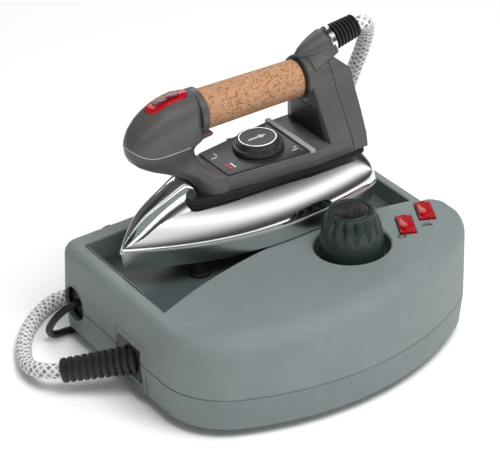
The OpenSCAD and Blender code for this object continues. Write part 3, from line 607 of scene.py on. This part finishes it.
cap_profile = [(17.3, -14), (27.6, -14), (28, -13.5), (28, 0), (28, 4), (27.9, 8), (27.7, 11), (27.2, 15), (26.6, 18),
               (25.9, 21), (25.1, 24), (24.1, 27), (23.0, 29.5), (22.0, 31.5), (21.2, 33), (20.3, 34.2), (19.2, 34.9),
               (18.2, 35), (17.4, 34.8), (16.9, 34.2), (16.7, 32.6), (0, 32.5)]
knob = lathe("cap_grip", cap_profile, CAP, "knob", 224, 50, flute)
cut(knob, rod(17.2, -15, -0.01, CAP), rod(6.05, -1, 24, CAP))
put(knob, "cap_knob", "cap_knob", slot="knob_plastic")
badge = lathe("cap_badge", [(16.4, 32.5), (16.6, 33), (16.5, 33.9), (15.8, 34.4), (14.8, 34.3), (14.2, 33.9),
                            (0, 33.9)], CAP, "badge")
put(badge, "cap_knob", "cap_insert", slot="chrome")
for i in range(3):
    a = radians(90 + 120 * i)
    mark = prism(f"cap_badge_mark_{i + 1}", [(7.5 * cos(a + s) * k, 7.5 * sin(a + s) * k) for s, k in (
        (-0.62, 0.35), (-0.45, 1.35), (0.45, 1.35), (0.62, 0.35))], 33.85, 34.25, CAP, "panel")
    put(mark, "cap_knob", slot="chrome")

# ---------------- iron: sole, shell and shield
SOLE_W, IRON_L, SOLE_H = 50.0, 244.0, 19.4
# Share of the length at which the iron is widest, how much narrower its heel is, and its corners' radius
WIDEST, HEEL_SHARE, HEEL_R = 0.615, 0.24, 8


def half_width(t):
    """Half the sole's width at a share t of its length."""
    if t < WIDEST:
        return SOLE_W * (1 - (1 - t / WIDEST) ** 2)
    return SOLE_W * (1 - HEEL_SHARE * ((t - WIDEST) / (1 - WIDEST)) ** 2)


PLAN_T = [0, 0.002, 0.006, 0.012, 0.022, 0.036, 0.055] + [0.08 + 0.03 * i for i in range(30)] + [0.97, 0.985, 1.0]


def iron_ring(z, nose, heel, w, heel_round):
    """A plan ring of the iron. heel_round pulls the last few widths in, to round the heel's corners."""
    side = []
    for t in PLAN_T:
        hw = max(0.5, half_width(t) * w / SOLE_W)
        back = max(0.0, (t - 0.93) / 0.07)
        side.append((nose + (heel - nose) * t, hw - heel_round * (1 - sqrt(max(0.0, 1 - back ** 2)))))
    return [(x, -y, z) for x, y in side] + [(x, y, z) for x, y in reversed(side)]


sole = loft("sole_body", [iron_ring(z, grow[0], IRON_L + grow[1], SOLE_W + grow[2], HEEL_R) for z, grow in (
    (0, (2.4, -2.4, -2.4)), (0.3, (1.0, -1, -1)), (1.2, (0.2, -0.2, -0.2)), (2.4, (0, 0, 0)), (16.2, (-1.4, 2, 2.6)),
    (17.0, (-2.6, 3, 4.2)), (18.6, (-2.8, 3.2, 4.5)), (SOLE_H, (-2.2, 2.8, 4.0)))], IRON, "aluminium", 24)
put(sole, "iron", "soleplate", slot="aluminium")

# The shell from its rim up: height, nose, heel, half width
SHELL = [(SOLE_H + 0.02, -1.2, 246.5, 53.2), (20.6, -1.4, 247, 53.4), (23, 0.4, 247, 53.2), (26, 3.6, 246.8, 52.4),
         (29, 7.0, 246.4, 51.1), (32, 10.4, 245.8, 49.4), (35, 13.6, 244.8, 47.2), (38, 17.2, 243.4, 44.6),
         (41, 21.5, 241.6, 41.4), (44, 27, 239.2, 37.6), (46.5, 32, 236.8, 34.2), (48.5, 38, 234.2, 31),
         (49.8, 45, 231.5, 28.2), (50.2, 52, 229.5, 26.2)]
shell = loft("shell_skin", [iron_ring(*s, 9) for s in SHELL], IRON, "chrome", 60)
put(shell, "iron", "chrome_shell", slot="chrome")

# The beak: a sail-like ridge that climbs from the nose to the column. Station, height of the crest, half width
BEAK = [(-1.2, 20.6, 0.5), (1, 25.0, 1.3), (4, 30.0, 2.2), (8, 35.6, 3.3), (13, 42.0, 4.5), (18, 47.2, 5.5),
        (23, 51.4, 6.3), (29, 55.0, 7.1), (36, 58.8, 7.9), (43, 62.2, 8.6), (50, 65.8, 9.3), (57, 69.4, 10.0),
        (62, 71.6, 10.6), (66, 70.0, 11.0), (70, 66.0, 11.4), (73, 60.0, 11.6)]


def shell_half(x, z):
    """Half width of the shell at a place along it and a height."""
    zs = [row[0] for row in SHELL]
    nose, heel, w = (float(np.interp(z, zs, [row[k] for row in SHELL])) for k in (1, 2, 3))
    return half_width(min(1.0, max(0.0, (x - nose) / (heel - nose)))) * w / SOLE_W


def beak_rings():
    """Sections of the beak: a round crest that flares down on both sides to meet the shell."""
    rings = []
    for x, top, w in BEAK:
        low = min(20.3 + x * 0.38 + 0.5, 44.0)
        foot = max(0.4, min(shell_half(x, low) - 0.3, w + 13))
        brow = top - w * 0.38
        quarter = [pi / 2 * k / 6 for k in range(7)]
        half = [(w * sin(a), brow + (top - brow) * cos(a)) for a in quarter]
        half += [(bend(t, w, w * 0.9, foot), bend(t, brow, low + 0.25 * (brow - low), low))
                 for t in (0.1, 0.22, 0.36, 0.5, 0.65, 0.8, 1.0)]
        rings.append([(x, y, z) for y, z in half] + [(x, -y, z) for y, z in reversed(half[1:])])
    return rings


beak = loft("shell_beak", beak_rings(), IRON, "chrome", 50)
put(beak, "iron", slot="chrome")


def base_outline(e, xs, hw):
    """The handle's base from above, through half widths hw at stations xs, inset by e."""
    px = [x + (e if i == 0 else -e if i == len(xs) - 1 else 0) for i, x in enumerate(xs)]
    side = [(x, e - w) for x, w in zip(px, hw)]
    return side + [(x, -y) for x, y in reversed(side)]


def base_solid(name, levels, xs, hw, corner, mat, angle):
    """A solid through base outlines at (height, inset)."""
    rings = [flat_ring(rounded(base_outline(e, xs, hw), corner), z) for z, e in levels]
    return loft(name, rings, IRON, mat, angle)


# Black heat shield between the shell and the handle, with a groove along it
shield_levels = ((49.5, 6), (49.6, 0.5), (51.0, 0.0), (51.4, 0.9), (52.2, 0.9), (52.6, 0.2), (53.6, 0.6), (54.0, 1.4),
                 (56.2, 2.0))
shield = base_solid("shield_body", shield_levels, (60, 97, 182, 237.5), (22, 30, 37, 36), 9, "black", 30)
put(shield, "iron", "heat_shield", slot="black_plastic")

# ---------------- iron: skirt, panel and dial
PANEL_Z = 71.4
skirt = base_solid("skirt_body", ((56.0, 1.2), (56.5, 0.4), (57.5, 0.0), (67.5, 0.4), (69.2, 0.9), (70.0, 1.8)),
                   (94, 97.5, 182, 186), (25.5, 27, 38, 37.6), 2.2, "handle", 50)
cut(skirt, rod(6.6, 50, 90, DIAL_AXIS, 48), rod(12.6, 50, 66, DIAL_AXIS, 48))
put(skirt, "iron", "handle_base", slot="handle_plastic")

panel = prism("panel_plate", rounded(base_outline(3.0, (95, 98, 176, 178), (25.5, 27, 37.4, 37.6)), 2), 70.0, PANEL_Z,
              IRON, "panel", 0.5)
cut(panel, rod(6.6, 50, 90, DIAL_AXIS, 48))
put(panel, "iron", "control_panel", slot="panel_plastic")
# The ledge behind the panel is handle plastic with a painted highlight as its colour
ledge = prism("panel_ledge_painted_highlight", rounded([(176.2, -37), (181.5, -37.4), (181.5, 37.4), (176.2, 37)], 1.2), 69.5, 73.2,
              IRON, "crease", 0.7)
put(ledge, "iron", slot="handle_plastic")

# A generic mark at the panel's front corner, and marks round the dial
for i, (x, y, w, h, mat) in enumerate(((106.5, -12, 2.2, 10, "print_red"), (110.5, -12.5, 1.6, 9, "print_light"),
                                       (104, 8, 6, 1.6, "print_light"), (108, 13, 1.4, 6, "print_light"),
                                       (168, -24, 6, 1.2, "print_light"), (170.5, -20, 3, 1.2, "print_light"))):
    mark = box(f"panel_mark_{i + 1}", (x - w / 2, y - h / 2, PANEL_Z), (x + w / 2, y + h / 2, PANEL_Z + 0.16), IRON,
               mat)
    put(mark, "iron", slot="panel_plastic")

DIAL = DIAL_AXIS @ shift(z=71.9)
dial_base = lathe("dial_disc", [(22.3, 0), (23, 0.6), (23, 3.4), (22.4, 4.6), (21.4, 5.0), (19.6, 5.1), (19.4, 5.4),
                                (19.4, 8.2), (18.8, 9.6), (17.9, 10.1), (17.3, 10.0), (17.2, 9.0), (0, 9.0)],
                  DIAL, "dial", 128)
cut(dial_base, rod(3.06, -1, 7.5, DIAL, 32))
put(dial_base, "dial", "dial", slot="dial_plastic")
dial_rim = hollow_lathe("dial_bright_ring", [(15.9, 8.9), (17.15, 8.9), (17.15, 10.0), (16.9, 10.3), (16.2, 10.3),
                                             (15.9, 10.0)], DIAL, "satin")
put(dial_rim, "dial", "dial_ring", slot="chrome")
dial_face = lathe("dial_face", [(15.8, 8.95), (15.8, 9.5), (15.4, 9.8), (0, 9.8)], DIAL, "dial")
put(dial_face, "dial", slot="dial_plastic")
# A plain arrow, and ticks round the dial
put(prism("dial_pointer", [(-9.5, -1.2), (2, -1.2), (2, -3.4), (8.5, 0), (2, 3.4), (2, 1.2), (-9.5, 1.2)], 9.75, 9.98,
          DIAL, "print_light"), "dial", slot="dial_plastic")
for i in range(11):
    a = radians(-150 + 30 * i)
    tick = [(21.6 * cos(a) + 0.35 * cos(a + b), 21.6 * sin(a) + 0.35 * sin(a + b))
            for b in (0.4, 1.97, 3.54, 5.1)]
    put(prism(f"dial_tick_{i + 1}", tick, 4.9, 5.12, DIAL, "print_light"), "dial", slot="dial_plastic")

# ---------------- iron: column and head
# The column and head from the base up: height, front, middle, back, half width
HEAD = [
    (56, 73, 96.9, 97, 26.5), (63, 71, 96.9, 97, 26), (69, 66, 96, 97, 24), (74, 60, 84, 94, 20),
    (82, 47, 66, 83, 17), (92, 28.5, 52, 77.5, 17), (101, 18, 48, 76, 19.5), (106, 15, 48, 80, 20.5),
    (109, 14, 48, 86.9, 21), (118, 14, 48, 87, 21.3), (127, 18, 50, 87, 21.3), (135, 25, 54, 87, 20),
    (141, 33, 57, 87, 17.5), (146, 41, 60, 87, 13), (149.5, 50, 62, 85, 7.5), (151, 58, 64, 78, 2.5)]
# The head's back stops against the column below this height, and against the cork above it
BACK_STEP_Z, COLUMN_BACK, CORK_FRONT = 75, 97, 87


def soft(v, p):
    """v to the power p, with its sign kept."""
    return -((-v) ** p) if v < 0 else v ** p


def head_point(row, a):
    """A point of the head's ring at angle a."""
    q, front, mid, back, w = row
    c = cos(a)
    x = mid + (mid - front) * soft(c, 0.9) if c < 0 else mid + (back - mid) * soft(c, 0.5)
    return (x, w * soft(sin(a), 0.85), q)


def head_rows():
    """The head's rings, made finer by a curve through them, and closed at the top."""
    rows, steps = [], 6
    for i in range(len(HEAD) - 1):
        a, b, c, d = (np.array(HEAD[min(max(i + k, 0), len(HEAD) - 1)], float) for k in (-1, 0, 1, 2))
        for k in range(steps):
            r = spline(a, b, c, d, k / steps)
            r[0] = b[0] + (c[0] - b[0]) * k / steps
            r[3] = min(r[3], COLUMN_BACK if r[0] < BACK_STEP_Z else CORK_FRONT)
            rows.append(tuple(r))
    rows.append(HEAD[-1])
    rows.append((151.3, 61, 64, 70, 0.6))
    return rows


HEAD_ROWS = head_rows()
HEAD_N = 96


def head_solid(name, rows, mat):
    rings = [[head_point(r, 2 * pi * (i + 0.5) / HEAD_N) for i in range(HEAD_N)] for r in rows]
    return loft(name, rings, IRON, mat, 42)


head = head_solid("head_body", HEAD_ROWS, "handle")
LENS = IRON @ shift(56)
slot_hole = prism("c", stadium(40.4, 8.4), 133.5, 170, LENS)
trigger_hole = box("c", (71.5, -5, 96), (91.5, 5, 112.6), IRON)
cut(head, slot_hole, trigger_hole, rod(6.0, -12, 8, GRIP, 48), rod(1.5, -10, 10, TRIGGER_PIN, 24))
put(head, "iron", "handle_head", slot="handle_plastic")


def head_at(q, a):
    """The point of the head at height q and angle a."""
    for i in range(len(HEAD_ROWS) - 1):
        if HEAD_ROWS[i][0] <= q <= HEAD_ROWS[i + 1][0]:
            t = (q - HEAD_ROWS[i][0]) / (HEAD_ROWS[i + 1][0] - HEAD_ROWS[i][0])
            return head_point([x + (y - x) * t for x, y in zip(HEAD_ROWS[i], HEAD_ROWS[i + 1])], a)
    return head_point(HEAD_ROWS[-1], a)


# The moulded crease round the chin: its first and last angle, its height at the back and its rise to the front
CREASE_TURNS, CREASE_STEPS, CREASE_Z, CREASE_RISE = (78, 282), 60, 108.5, 8.5
crease = []
for i in range(CREASE_STEPS + 1):
    a = radians(CREASE_TURNS[0] + (CREASE_TURNS[1] - CREASE_TURNS[0]) * i / CREASE_STEPS)
    q = 114.0
    for _ in range(4):  # the height depends on the point, so a few rounds settle it
        q = CREASE_Z + CREASE_RISE * max(0.0, 1 - (head_at(q, a)[0] - 14) / 20) ** 2
    crease.append(head_at(q, a))
# The crease's light line is a painted highlight on the handle plastic
crease_highlight = tube("head_crease_painted_highlight", crease, 0.55, "crease", n=8, place=IRON)
put(crease_highlight, "iron", slot="handle_plastic")

# Round end of the head against the cork
head_end = hollow_lathe("head_end_ring", [(6.2, -7), (20.6, -7), (21.2, -6.4), (21.2, -0.9), (20.4, -0.1),
                                          (6.2, -0.1)], GRIP)
put(head_end, "iron", slot="handle_plastic")


def grown_head(name, grow, mat):
    """The head's skin moved outwards, for the lens and the button that stand proud of it."""
    rows = [(q + (grow if q > 130 else 0), f - grow, m, b, w + grow) for q, f, m, b, w in HEAD_ROWS]
    return head_solid(name, rows, mat)


def within(obj, outline, low):
    """Keeps only what is inside an outline round the lens's middle and above low."""
    return cut(obj, prism("keep", outline, low, 175, LENS), how="INTERSECT")


lens = within(grown_head("lens_body", 0.9, "red"), stadium(39.8, 8.1), 133.6)
cut(lens, prism("c", stadium(25, 5), 136, 170, LENS))
put(lens, "iron", "pilot_lens", slot="red_lens")
button = within(grown_head("button_body", 2.2, "red_dark"), stadium(24.4, 4.7), 139.5)
put(button, "steam_button", "steam_button", slot="red_button")

trigger = loft("trigger_blade", [[(x, y, z) for x, z in rounded([
    (73.6, 104.5), (78, 103), (86, 101.6), (96.5, 102.6), (98.5, 104.4), (97, 106.4), (88, 108), (80, 110.4),
    (74, 110.4)], 1.6, 4)] for y in (4.2, -4.2)], IRON, "red_dark")
cut(trigger, rod(1.56, -10, 10, TRIGGER_PIN, 24))
put(bevel(trigger, 0.5), "trigger", "trigger", slot="red_button")

# Cork grip
cork = hollow_lathe("cork_sleeve", [(6.0, 0.6), (17.4, 0.6), (18.2, 1.4), (17.02, 100.0), (16.3, 101.0),
                                    (6.0, 101.0)], GRIP, "cork", 128)
put(cork, "iron", "cork_grip", slot="cork")


# ---------------- iron: rear post, cover and hose holder
# The post's round top: height of its centre up the post, and radius; and the bore for the tube
ARCH_Y, ARCH_R, BORE = 71, 20.6, 6.05


def post_outline(e):
    """The post as seen from behind, with its round top, inset by e."""
    side = [(-37, -8), (-36.5, 12), (-31, 34), (-24, 56), (-ARCH_R, ARCH_Y)]
    left = [(x + e, y) for x, y in side]
    arch = arc((0, ARCH_Y), ARCH_R - e, 180, 0, 20)[1:-1]
    return left + arch + [(-x, y) for x, y in reversed(left)]


def post_slab(name, rings):
    """Rings of (depth along the iron, inset) joined into a solid, cut off at the base."""
    o = loft(name, [flat_ring(post_outline(e), z) for z, e in rings], POST, "handle", 40)
    return cut(o, box("c", (100, -80, 0), (320, 80, BASE_TOP), IRON))


post = post_slab("post_body", [(-22, 2.2), (-21.2, 0.8), (-19.5, 0.1), (-18, 0), (-1.0, 0), (-0.3, 0.5)])
cut(post, rod(BORE, 0, 114, GRIP, 48))
put(post, "iron", "rear_post", slot="handle_plastic")
cover = post_slab("post_cover", [(0.0, 0.6), (0.5, 0.1), (26, 0.1), (28, 0.6)])
# The cover's back leans forwards, and its top is cut off at a slope
rear_face = box("c", (0, -80, -40), (80, 80, 160), IRON @ shift(238, 0, BASE_TOP) @ spin(-3.5, "Y"))
slope = box("c", (0, -60, 0), (60, 60, 60), IRON @ shift(210.4, 0, 151.8) @ spin(44, "Y"))
cut(cover, rear_face, slope, rod(BORE, 0, 114, GRIP, 48))
put(bevel(cover, 2.6, 4, 50), "iron", "rear_cover", slot="handle_plastic")
collar = hollow_lathe("grip_collar", [(6.1, 103.3), (19.6, 103.3), (20.1, 103.8), (20.4, 118), (6.1, 118)], GRIP)
ring = hollow_lathe("grip_ring", [(6.1, 101.1), (18.6, 101.1), (19.4, 101.7), (19.4, 103.2), (6.1, 103.2)], GRIP,
                    "black")
put(ring, "iron", slot="black_plastic")
put(collar, "iron", slot="handle_plastic")
foot_block = loft("post_foot", [
    flat_ring(rounded([(182.5 + e, -38 + e), (221, -37.4 + e), (221, 37.4 - e), (182.5 + e, 38 - e)], 1.5), z)
    for z, e in ((BASE_TOP, 0.8), (57, 0), (68, 0.2), (69.5, 0.8), (70.2, 2.0))], IRON, "handle", 40)
put(foot_block, "iron", slot="handle_plastic")
# Black inset on the post's front
inset = prism("post_inset", rounded([(-26, 16), (26, 16), (21, 47), (-21, 47)], 2), -22.6, -21.6, POST, "black")
put(inset, "iron", slot="black_plastic")

# Hose holder: a cone that grows out of the post's top
holder = lathe("holder_body", [(0.4, -6), (3.0, -4.6), (5.4, -1), (7.6, 4), (9.6, 10), (11.2, 16), (12.2, 21.5),
                               (12.5, 23.6), (12.3, 24.6), (11.6, 25)], HOLDER, "handle", 96, 50)
cut(holder, rod(ARCH_R, -60, 60, POST @ shift(y=ARCH_Y)))
put(holder, "iron", "hose_holder", slot="handle_plastic")
# Saddle: a block over the post's round top that swells up into the holder, pointed at its lower front corners
SADDLE_IN, SADDLE_OUT, SWELL_WIDTH, SADDLE_STEPS = ARCH_R - 0.3, ARCH_R + 2, radians(27), 48
strap = []
for z, spread, swell in ((-15.5, 53, 0), (-14.6, 55, 0.6), (-10, 53, 1.2), (-5, 50, 3.6), (0, 47, 7.0), (5, 44, 9.6),
                         (9, 42, 11.2), (12, 40, 12.2), (12.8, 39, 11.8)):
    turns = [radians(spread * (1 - 2 * i / SADDLE_STEPS)) for i in range(SADDLE_STEPS + 1)]
    ring = [(SADDLE_OUT + swell * exp(-(a / SWELL_WIDTH) ** 2), a) for a in turns]
    ring += [(SADDLE_IN, a) for a in reversed(turns)]
    strap.append([(r * sin(a), ARCH_Y + r * cos(a), z) for r, a in ring])
saddle = loft("holder_saddle", strap, POST, "handle", 30)
put(bevel(saddle, 0.5, 2), "iron", slot="handle_plastic")
clamp = hollow_lathe("clamp_band", [(9.05, 27.2), (11.6, 27.2), (12, 27.6), (12, 32.0), (11.6, 32.4), (9.05, 32.4)],
                     HOLDER, "satin")
put(clamp, "iron", "hose_clamp", slot="steel")
ear = box("clamp_ear", (-14.5, -3, 28), (-10.5, 3, 31.6), HOLDER, "satin", 0.5)
put(ear, "iron", slot="steel")


# Bore for the hose in both strain reliefs
HOSE_BORE = 7.06


def ribbed(name, rib_r, start, end, count, core, depth, place):
    """A ribbed strain relief along Z. rib_r is the ribs' radius at each end, depth how far the hose goes in."""
    loop = [(core, start)]
    pitch = (end - start) / count
    for i in range(count):
        r = rib_r[0] + (rib_r[1] - rib_r[0]) * i / (count - 1)
        loop += [(radius, start + pitch * (i + share)) for radius, share in (
            (core, 0.25), (r - 0.3, 0.32), (r, 0.42), (r, 0.78), (r - 0.3, 0.9), (core, 0.98))]
    loop += [(core, end), (HOSE_BORE, end), (HOSE_BORE, end - depth)]
    return lathe(name, loop, place, "rubber", 72)


relief = ribbed("relief_body", (11.8, 10.6), 33.2, 59, 7, 8.6, 14, HOLDER)
put(lathe("relief_neck", [(9.0, 25.05), (9.0, 33.1)], HOLDER, "rubber", 64), "iron", slot="rubber")
put(relief, "iron", "iron_strain_relief", slot="rubber")
base_relief = ribbed("base_relief_body", (13, 11), 2, 70, 11, 10, 18, RELIEF)
cut(base_relief, box("c", (-158, -60, 0), (-98, 60, 80)))
put(base_relief, "base", "base_strain_relief", slot="rubber")
put(box("gland_plate", (-157.5, -14.4, 19.8), (-146, 24.4, 52.1), mat="black", edge=0.6), "base", "hose_gland_block",
    slot="black_plastic")

# ---------------- cords
hose_run = [along(RELIEF, 54), along(RELIEF, 70), (-216, 52, 18), (-219, 72, 12), (-213, 95, 8), (-201, 118, 7.1),
            (-184, 139, 7.1), (-164, 156, 7.1), (-142, 167, 7.1), (-118, 168, 7.1), (-96, 160, 10), (-72, 149, 15),
            (-44, 143, 15), (-16, 142, 18), (10, 149, 24), (28, 166, 31), (37, 190, 38), (38, 205, 41.6)]
# The hose's coil, two and a half turns that come down: its centre, radius, lowest height and rise in a turn
COIL_AT, COIL_R, HOSE_LIE, COIL_RISE = (108, 212), 70, 7.1, 14.1
coil = [(COIL_AT[0] + COIL_R * cos(radians(a)), COIL_AT[1] + COIL_R * sin(radians(a)),
         HOSE_LIE + COIL_RISE * a / 360) for a in range(900, -1, -6)]
hose_fall = [(175.5, 192, 12), (167, 172, 38), (157, 150, 86), (148, 126, 141), (142, 100, 190), (137, 76, 233),
             (128, 59, 258), (117, 49, 270), along(HOLDER, 60), along(HOLDER, 53), along(HOLDER, 46)]
hose_line = smooth_curve(hose_run, 8)[:-1] + [Vector(p) for p in coil[1:-1]] + smooth_curve(
    [(178, 211, 7.2)] + hose_fall, 8)
hose_points, hose_length = even(hose_line, 3.0)
# Strands of the weave round the hose, the hose's girth and its radius
STRANDS, GIRTH, HOSE_R = 6, 44.0, 6.95
hose = tube("steam_hose", hose_points, HOSE_R, "braid", n=28, around=STRANDS, per_mm=STRANDS / GIRTH)
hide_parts("steam_hose_fall", "steam_hose_run", "steam_hose_coil")
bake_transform(hose)

# Mains lead: out of the gland, down to the table, and a coil that winds in on the table and out again on top of
# itself, with the plug on it
COIL_C, COIL_OUT, COIL_IN = (-30.0, 200.0), 46.8, 28.2
# Height of its centre on the table, of a layer, and the degrees in which it climbs; first angle, all its turns, steps
LEAD_LIE, LAYER, CLIMB_TURN = 3.5, 7.0, 60
TURN_FIRST, TURN_TOTAL, COIL_STEPS = 190.0, 1989.0, 400
lead_start = [(-148, 101, 42), (-156, 101, 41.5), (-165, 103, 38), (-173, 107, 30), (-177, 113, 18), (-174, 118, 8),
              (-166, 120, 3.8), (-152, 120, 3.5), (-136, 115, 3.5), (-118, 109, 3.5), (-96, 114, 3.5),
              (-82, 134, 3.5), (-77, 160, 3.5)]
lead_coil = []
for i in range(COIL_STEPS + 1):
    a, half = TURN_TOTAL * i / COIL_STEPS, TURN_TOTAL / 2
    climb = min(1.0, max(0.0, (a - half) / CLIMB_TURN + 0.5))
    r = COIL_IN + (COIL_OUT - COIL_IN) * abs(1 - a / half)
    turn = radians(TURN_FIRST - a)
    lead_coil.append((COIL_C[0] + r * cos(turn), COIL_C[1] + r * sin(turn),
                      LEAD_LIE + LAYER * climb * climb * (3 - 2 * climb)))
lead_end = [(16.5, 190, 10.6), (13, 180, 12.5), (7, 176.5, 18), (-1, 177, 24.5), (-11, 178, 27), (-19, 178, 27)]
lead_line = smooth_curve(lead_start + [lead_coil[0], lead_coil[3]], 8)[:-9] + [Vector(p) for p in lead_coil] \
    + smooth_curve([lead_coil[-1]] + lead_end, 8)[1:]
lead_points, lead_length = even(lead_line, 2.0)
lead = tube("mains_cable", lead_points, 3.4, "lead", n=16)
put(lead, "base", "mains_lead", "mains_lead_coil", slot="lead_sheath")

PLUG = shift(-18, 178, 27) @ spin(-90, "Y")
plug = lathe("plug_body", [(4.6, -7), (5.2, -6.4), (6.0, 0), (9.5, 5), (12.2, 9), (13, 13), (13, 31), (12.4, 33.2),
                           (11.4, 34), (0, 34)], PLUG, "lead", 72)
put(plug, "base", "mains_plug", slot="lead_sheath")
for i, y in enumerate((-9.5, 9.5)):
    pin = lathe(f"plug_pin_{i + 1}", [(2.4, 30), (2.4, 51.6), (2.0, 52.8), (1.2, 53), (0, 53)], PLUG @ shift(y=y),
                "satin", 32)
    put(pin, "base", slot="steel")
# Ties round both coils: centre of the coil, the tie's radius from it and its turn, and its opening
for name, centre, r, turn, w, h in (("hose_tie", COIL_AT, COIL_R, 75, 15, 48.5),
                                    ("lead_tie", COIL_C, 37.5, 100, 26, 15)):
    place = shift(*centre) @ spin(turn, "Z")
    band = box(name, (r - w / 2 - 1.2, -4, 0), (r + w / 2 + 1.2, 4, h + 1.2), place, "black")
    cut(band, box("c", (r - w / 2, -6, 0.6), (r + w / 2, 6, h), place))
    put(band, "base", *(["coil_ties"] if name == "hose_tie" else []), slot="black_plastic")


# ---------------- small marks on the deck
def deck_mark(name, outline, at, turn):
    put(prism(name, outline, 0, 0.16, DECK @ shift(*at, -0.1) @ spin(turn, "Z"), "print_dark"), "base", slot="casing")


def open_ring(r, w, first, last):
    """An open ring of radius r and width w."""
    return arc((0, 0), r + w / 2, first, last, 24) + arc((0, 0), r - w / 2, last, first, 24)


bar = [(-0.6, -3.2), (0.6, -3.2), (0.6, 3.2), (-0.6, 3.2)]
deck_mark("deck_icon_heat", open_ring(3.4, 1.1, 30, 330), (88, -57), 60)
deck_mark("deck_icon_heat_bar", bar, (88, -57), 60)
deck_mark("deck_icon_iron", [(-5, -2), (5, -2), (5, -0.6), (1, 2.6), (-2.5, 2.6), (-2.5, 1.6), (0.4, 1.6), (2, 0),
                             (-5, 0)], (117, -55), -26)

# ---------------- materials of the CAD nodes that stay
CAD_LOOK = {
    "casing_screws": "steel", "boiler_shell": "steel", "boiler_neck": "brass", "well_seal": "rubber",
    "boiler_heater": "steel", "boiler_legs": "steel", "boiler_thermostat": "ceramic", "pressure_switch": "black",
    "solenoid_valve_body": "brass", "solenoid_coil": "black", "solenoid_plunger": "steel", "plunger_spring": "steel",
    "steam_pipes": "copper", "terminal_block": "ceramic", "switch_housings": "black", "cap_core": "brass",
    "cap_seal": "rubber", "heating_element": "steel", "steam_chamber_cover": "aluminium", "thermostat": "ceramic",
    "button_spring": "steel", "trigger_pin_rod": "steel", "microswitch": "black", "handle_tube": "steel",
    "iron_terminal_block": "ceramic", "mains_gland": "black",
}
for node, look in CAD_LOOK.items():
    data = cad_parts[node].data
    data.materials.clear()
    data.materials.append(MAT[look])

# ---------------- floor, light and camera
floor_data = bpy.data.meshes.new("floor")
floor_data.from_pydata([(-6, -6, 0), (6, -6, 0), (6, 9, 0), (-6, 9, 0)], [], [(0, 1, 2, 3)])
floor_data.materials.append(material("pale floor", (0.93, 0.93, 0.93), 0.9, specular=0.1))
add("floor", floor_data)
AIM = Vector((0, 0, 0.1))


def area_light(name, at, size, power):
    """A rectangular soft light of size metres, aimed at the middle of the object."""
    data = bpy.data.lights.new(name, "AREA")
    data.shape, data.size, data.size_y, data.energy = "RECTANGLE", size[0], size[1], power
    o = add(name, data)
    o.location = at
    o.rotation_euler = (AIM - Vector(at)).to_track_quat("-Z", "Y").to_euler()
    return o


# The key and front lights stay out of reflections, where the room's bands stand in for them
area_light("key", (0.1, -0.9, 2.0), (1.2, 1.2), 46).visible_glossy = False
area_light("front", (1.2, -2.0, 0.9), (1.2, 0.8), 6).visible_glossy = False
area_light("back", (0.4, 1.8, 1.6), (1.6, 1.2), 12)
world = bpy.data.worlds.new("room")
bpy.context.scene.world = world
world.use_nodes = True
room = world.node_tree
# Diffuse rays see an even white room. Glossy rays see it in bands, as polished metal does in a studio.
direction = new_node(room, "SeparateXYZ", Vector=new_node(room, "TexCoord").outputs["Generated"])
toward = math_node(room, "MULTIPLY", direction.outputs["Y"], -1)
turn = math_node(room, "DIVIDE", math_node(room, "ARCTAN2", direction.outputs["Z"], toward), pi)
bands = new_node(room, "ValToRGB", Fac=turn)
# Share of the half turn from the front horizon over the top to the back one, and how bright the room is there
BANDS = ((0.0, 0.12), (0.05, 0.05), (0.11, 0.14), (0.16, 0.38), (0.21, 0.85), (0.26, 1.2), (0.32, 1.05), (0.38, 0.34),
         (0.44, 0.06), (0.68, 0.03), (0.78, 0.10), (1.0, 0.14))
while len(bands.color_ramp.elements) < len(BANDS):
    bands.color_ramp.elements.new(0.5)
for element, (at, level) in zip(bands.color_ramp.elements, BANDS):
    element.position = at
    element.color = (level, level, level, 1)
glossy = new_node(room, "LightPath").outputs["Is Glossy Ray"]
background = room.nodes["Background"].inputs
feed(room, background["Color"], mix_node(room, glossy, (0.33, 0.33, 0.33), bands.outputs["Color"]))
background["Strength"].default_value = 1.0

camera_data = bpy.data.cameras.new("camera")
camera = add("camera", camera_data)
bpy.context.scene.camera = camera
camera.location = (-0.99049, -1.46592, 1.10854)
camera.rotation_euler = [radians(a) for a in (60.8721, 0.0115, -33.0965)]
camera_data.lens, camera_data.sensor_width = 165.6, 36.0
camera_data.clip_start, camera_data.clip_end = 0.05, 30
bpy.context.scene.view_settings.view_transform = "Standard"
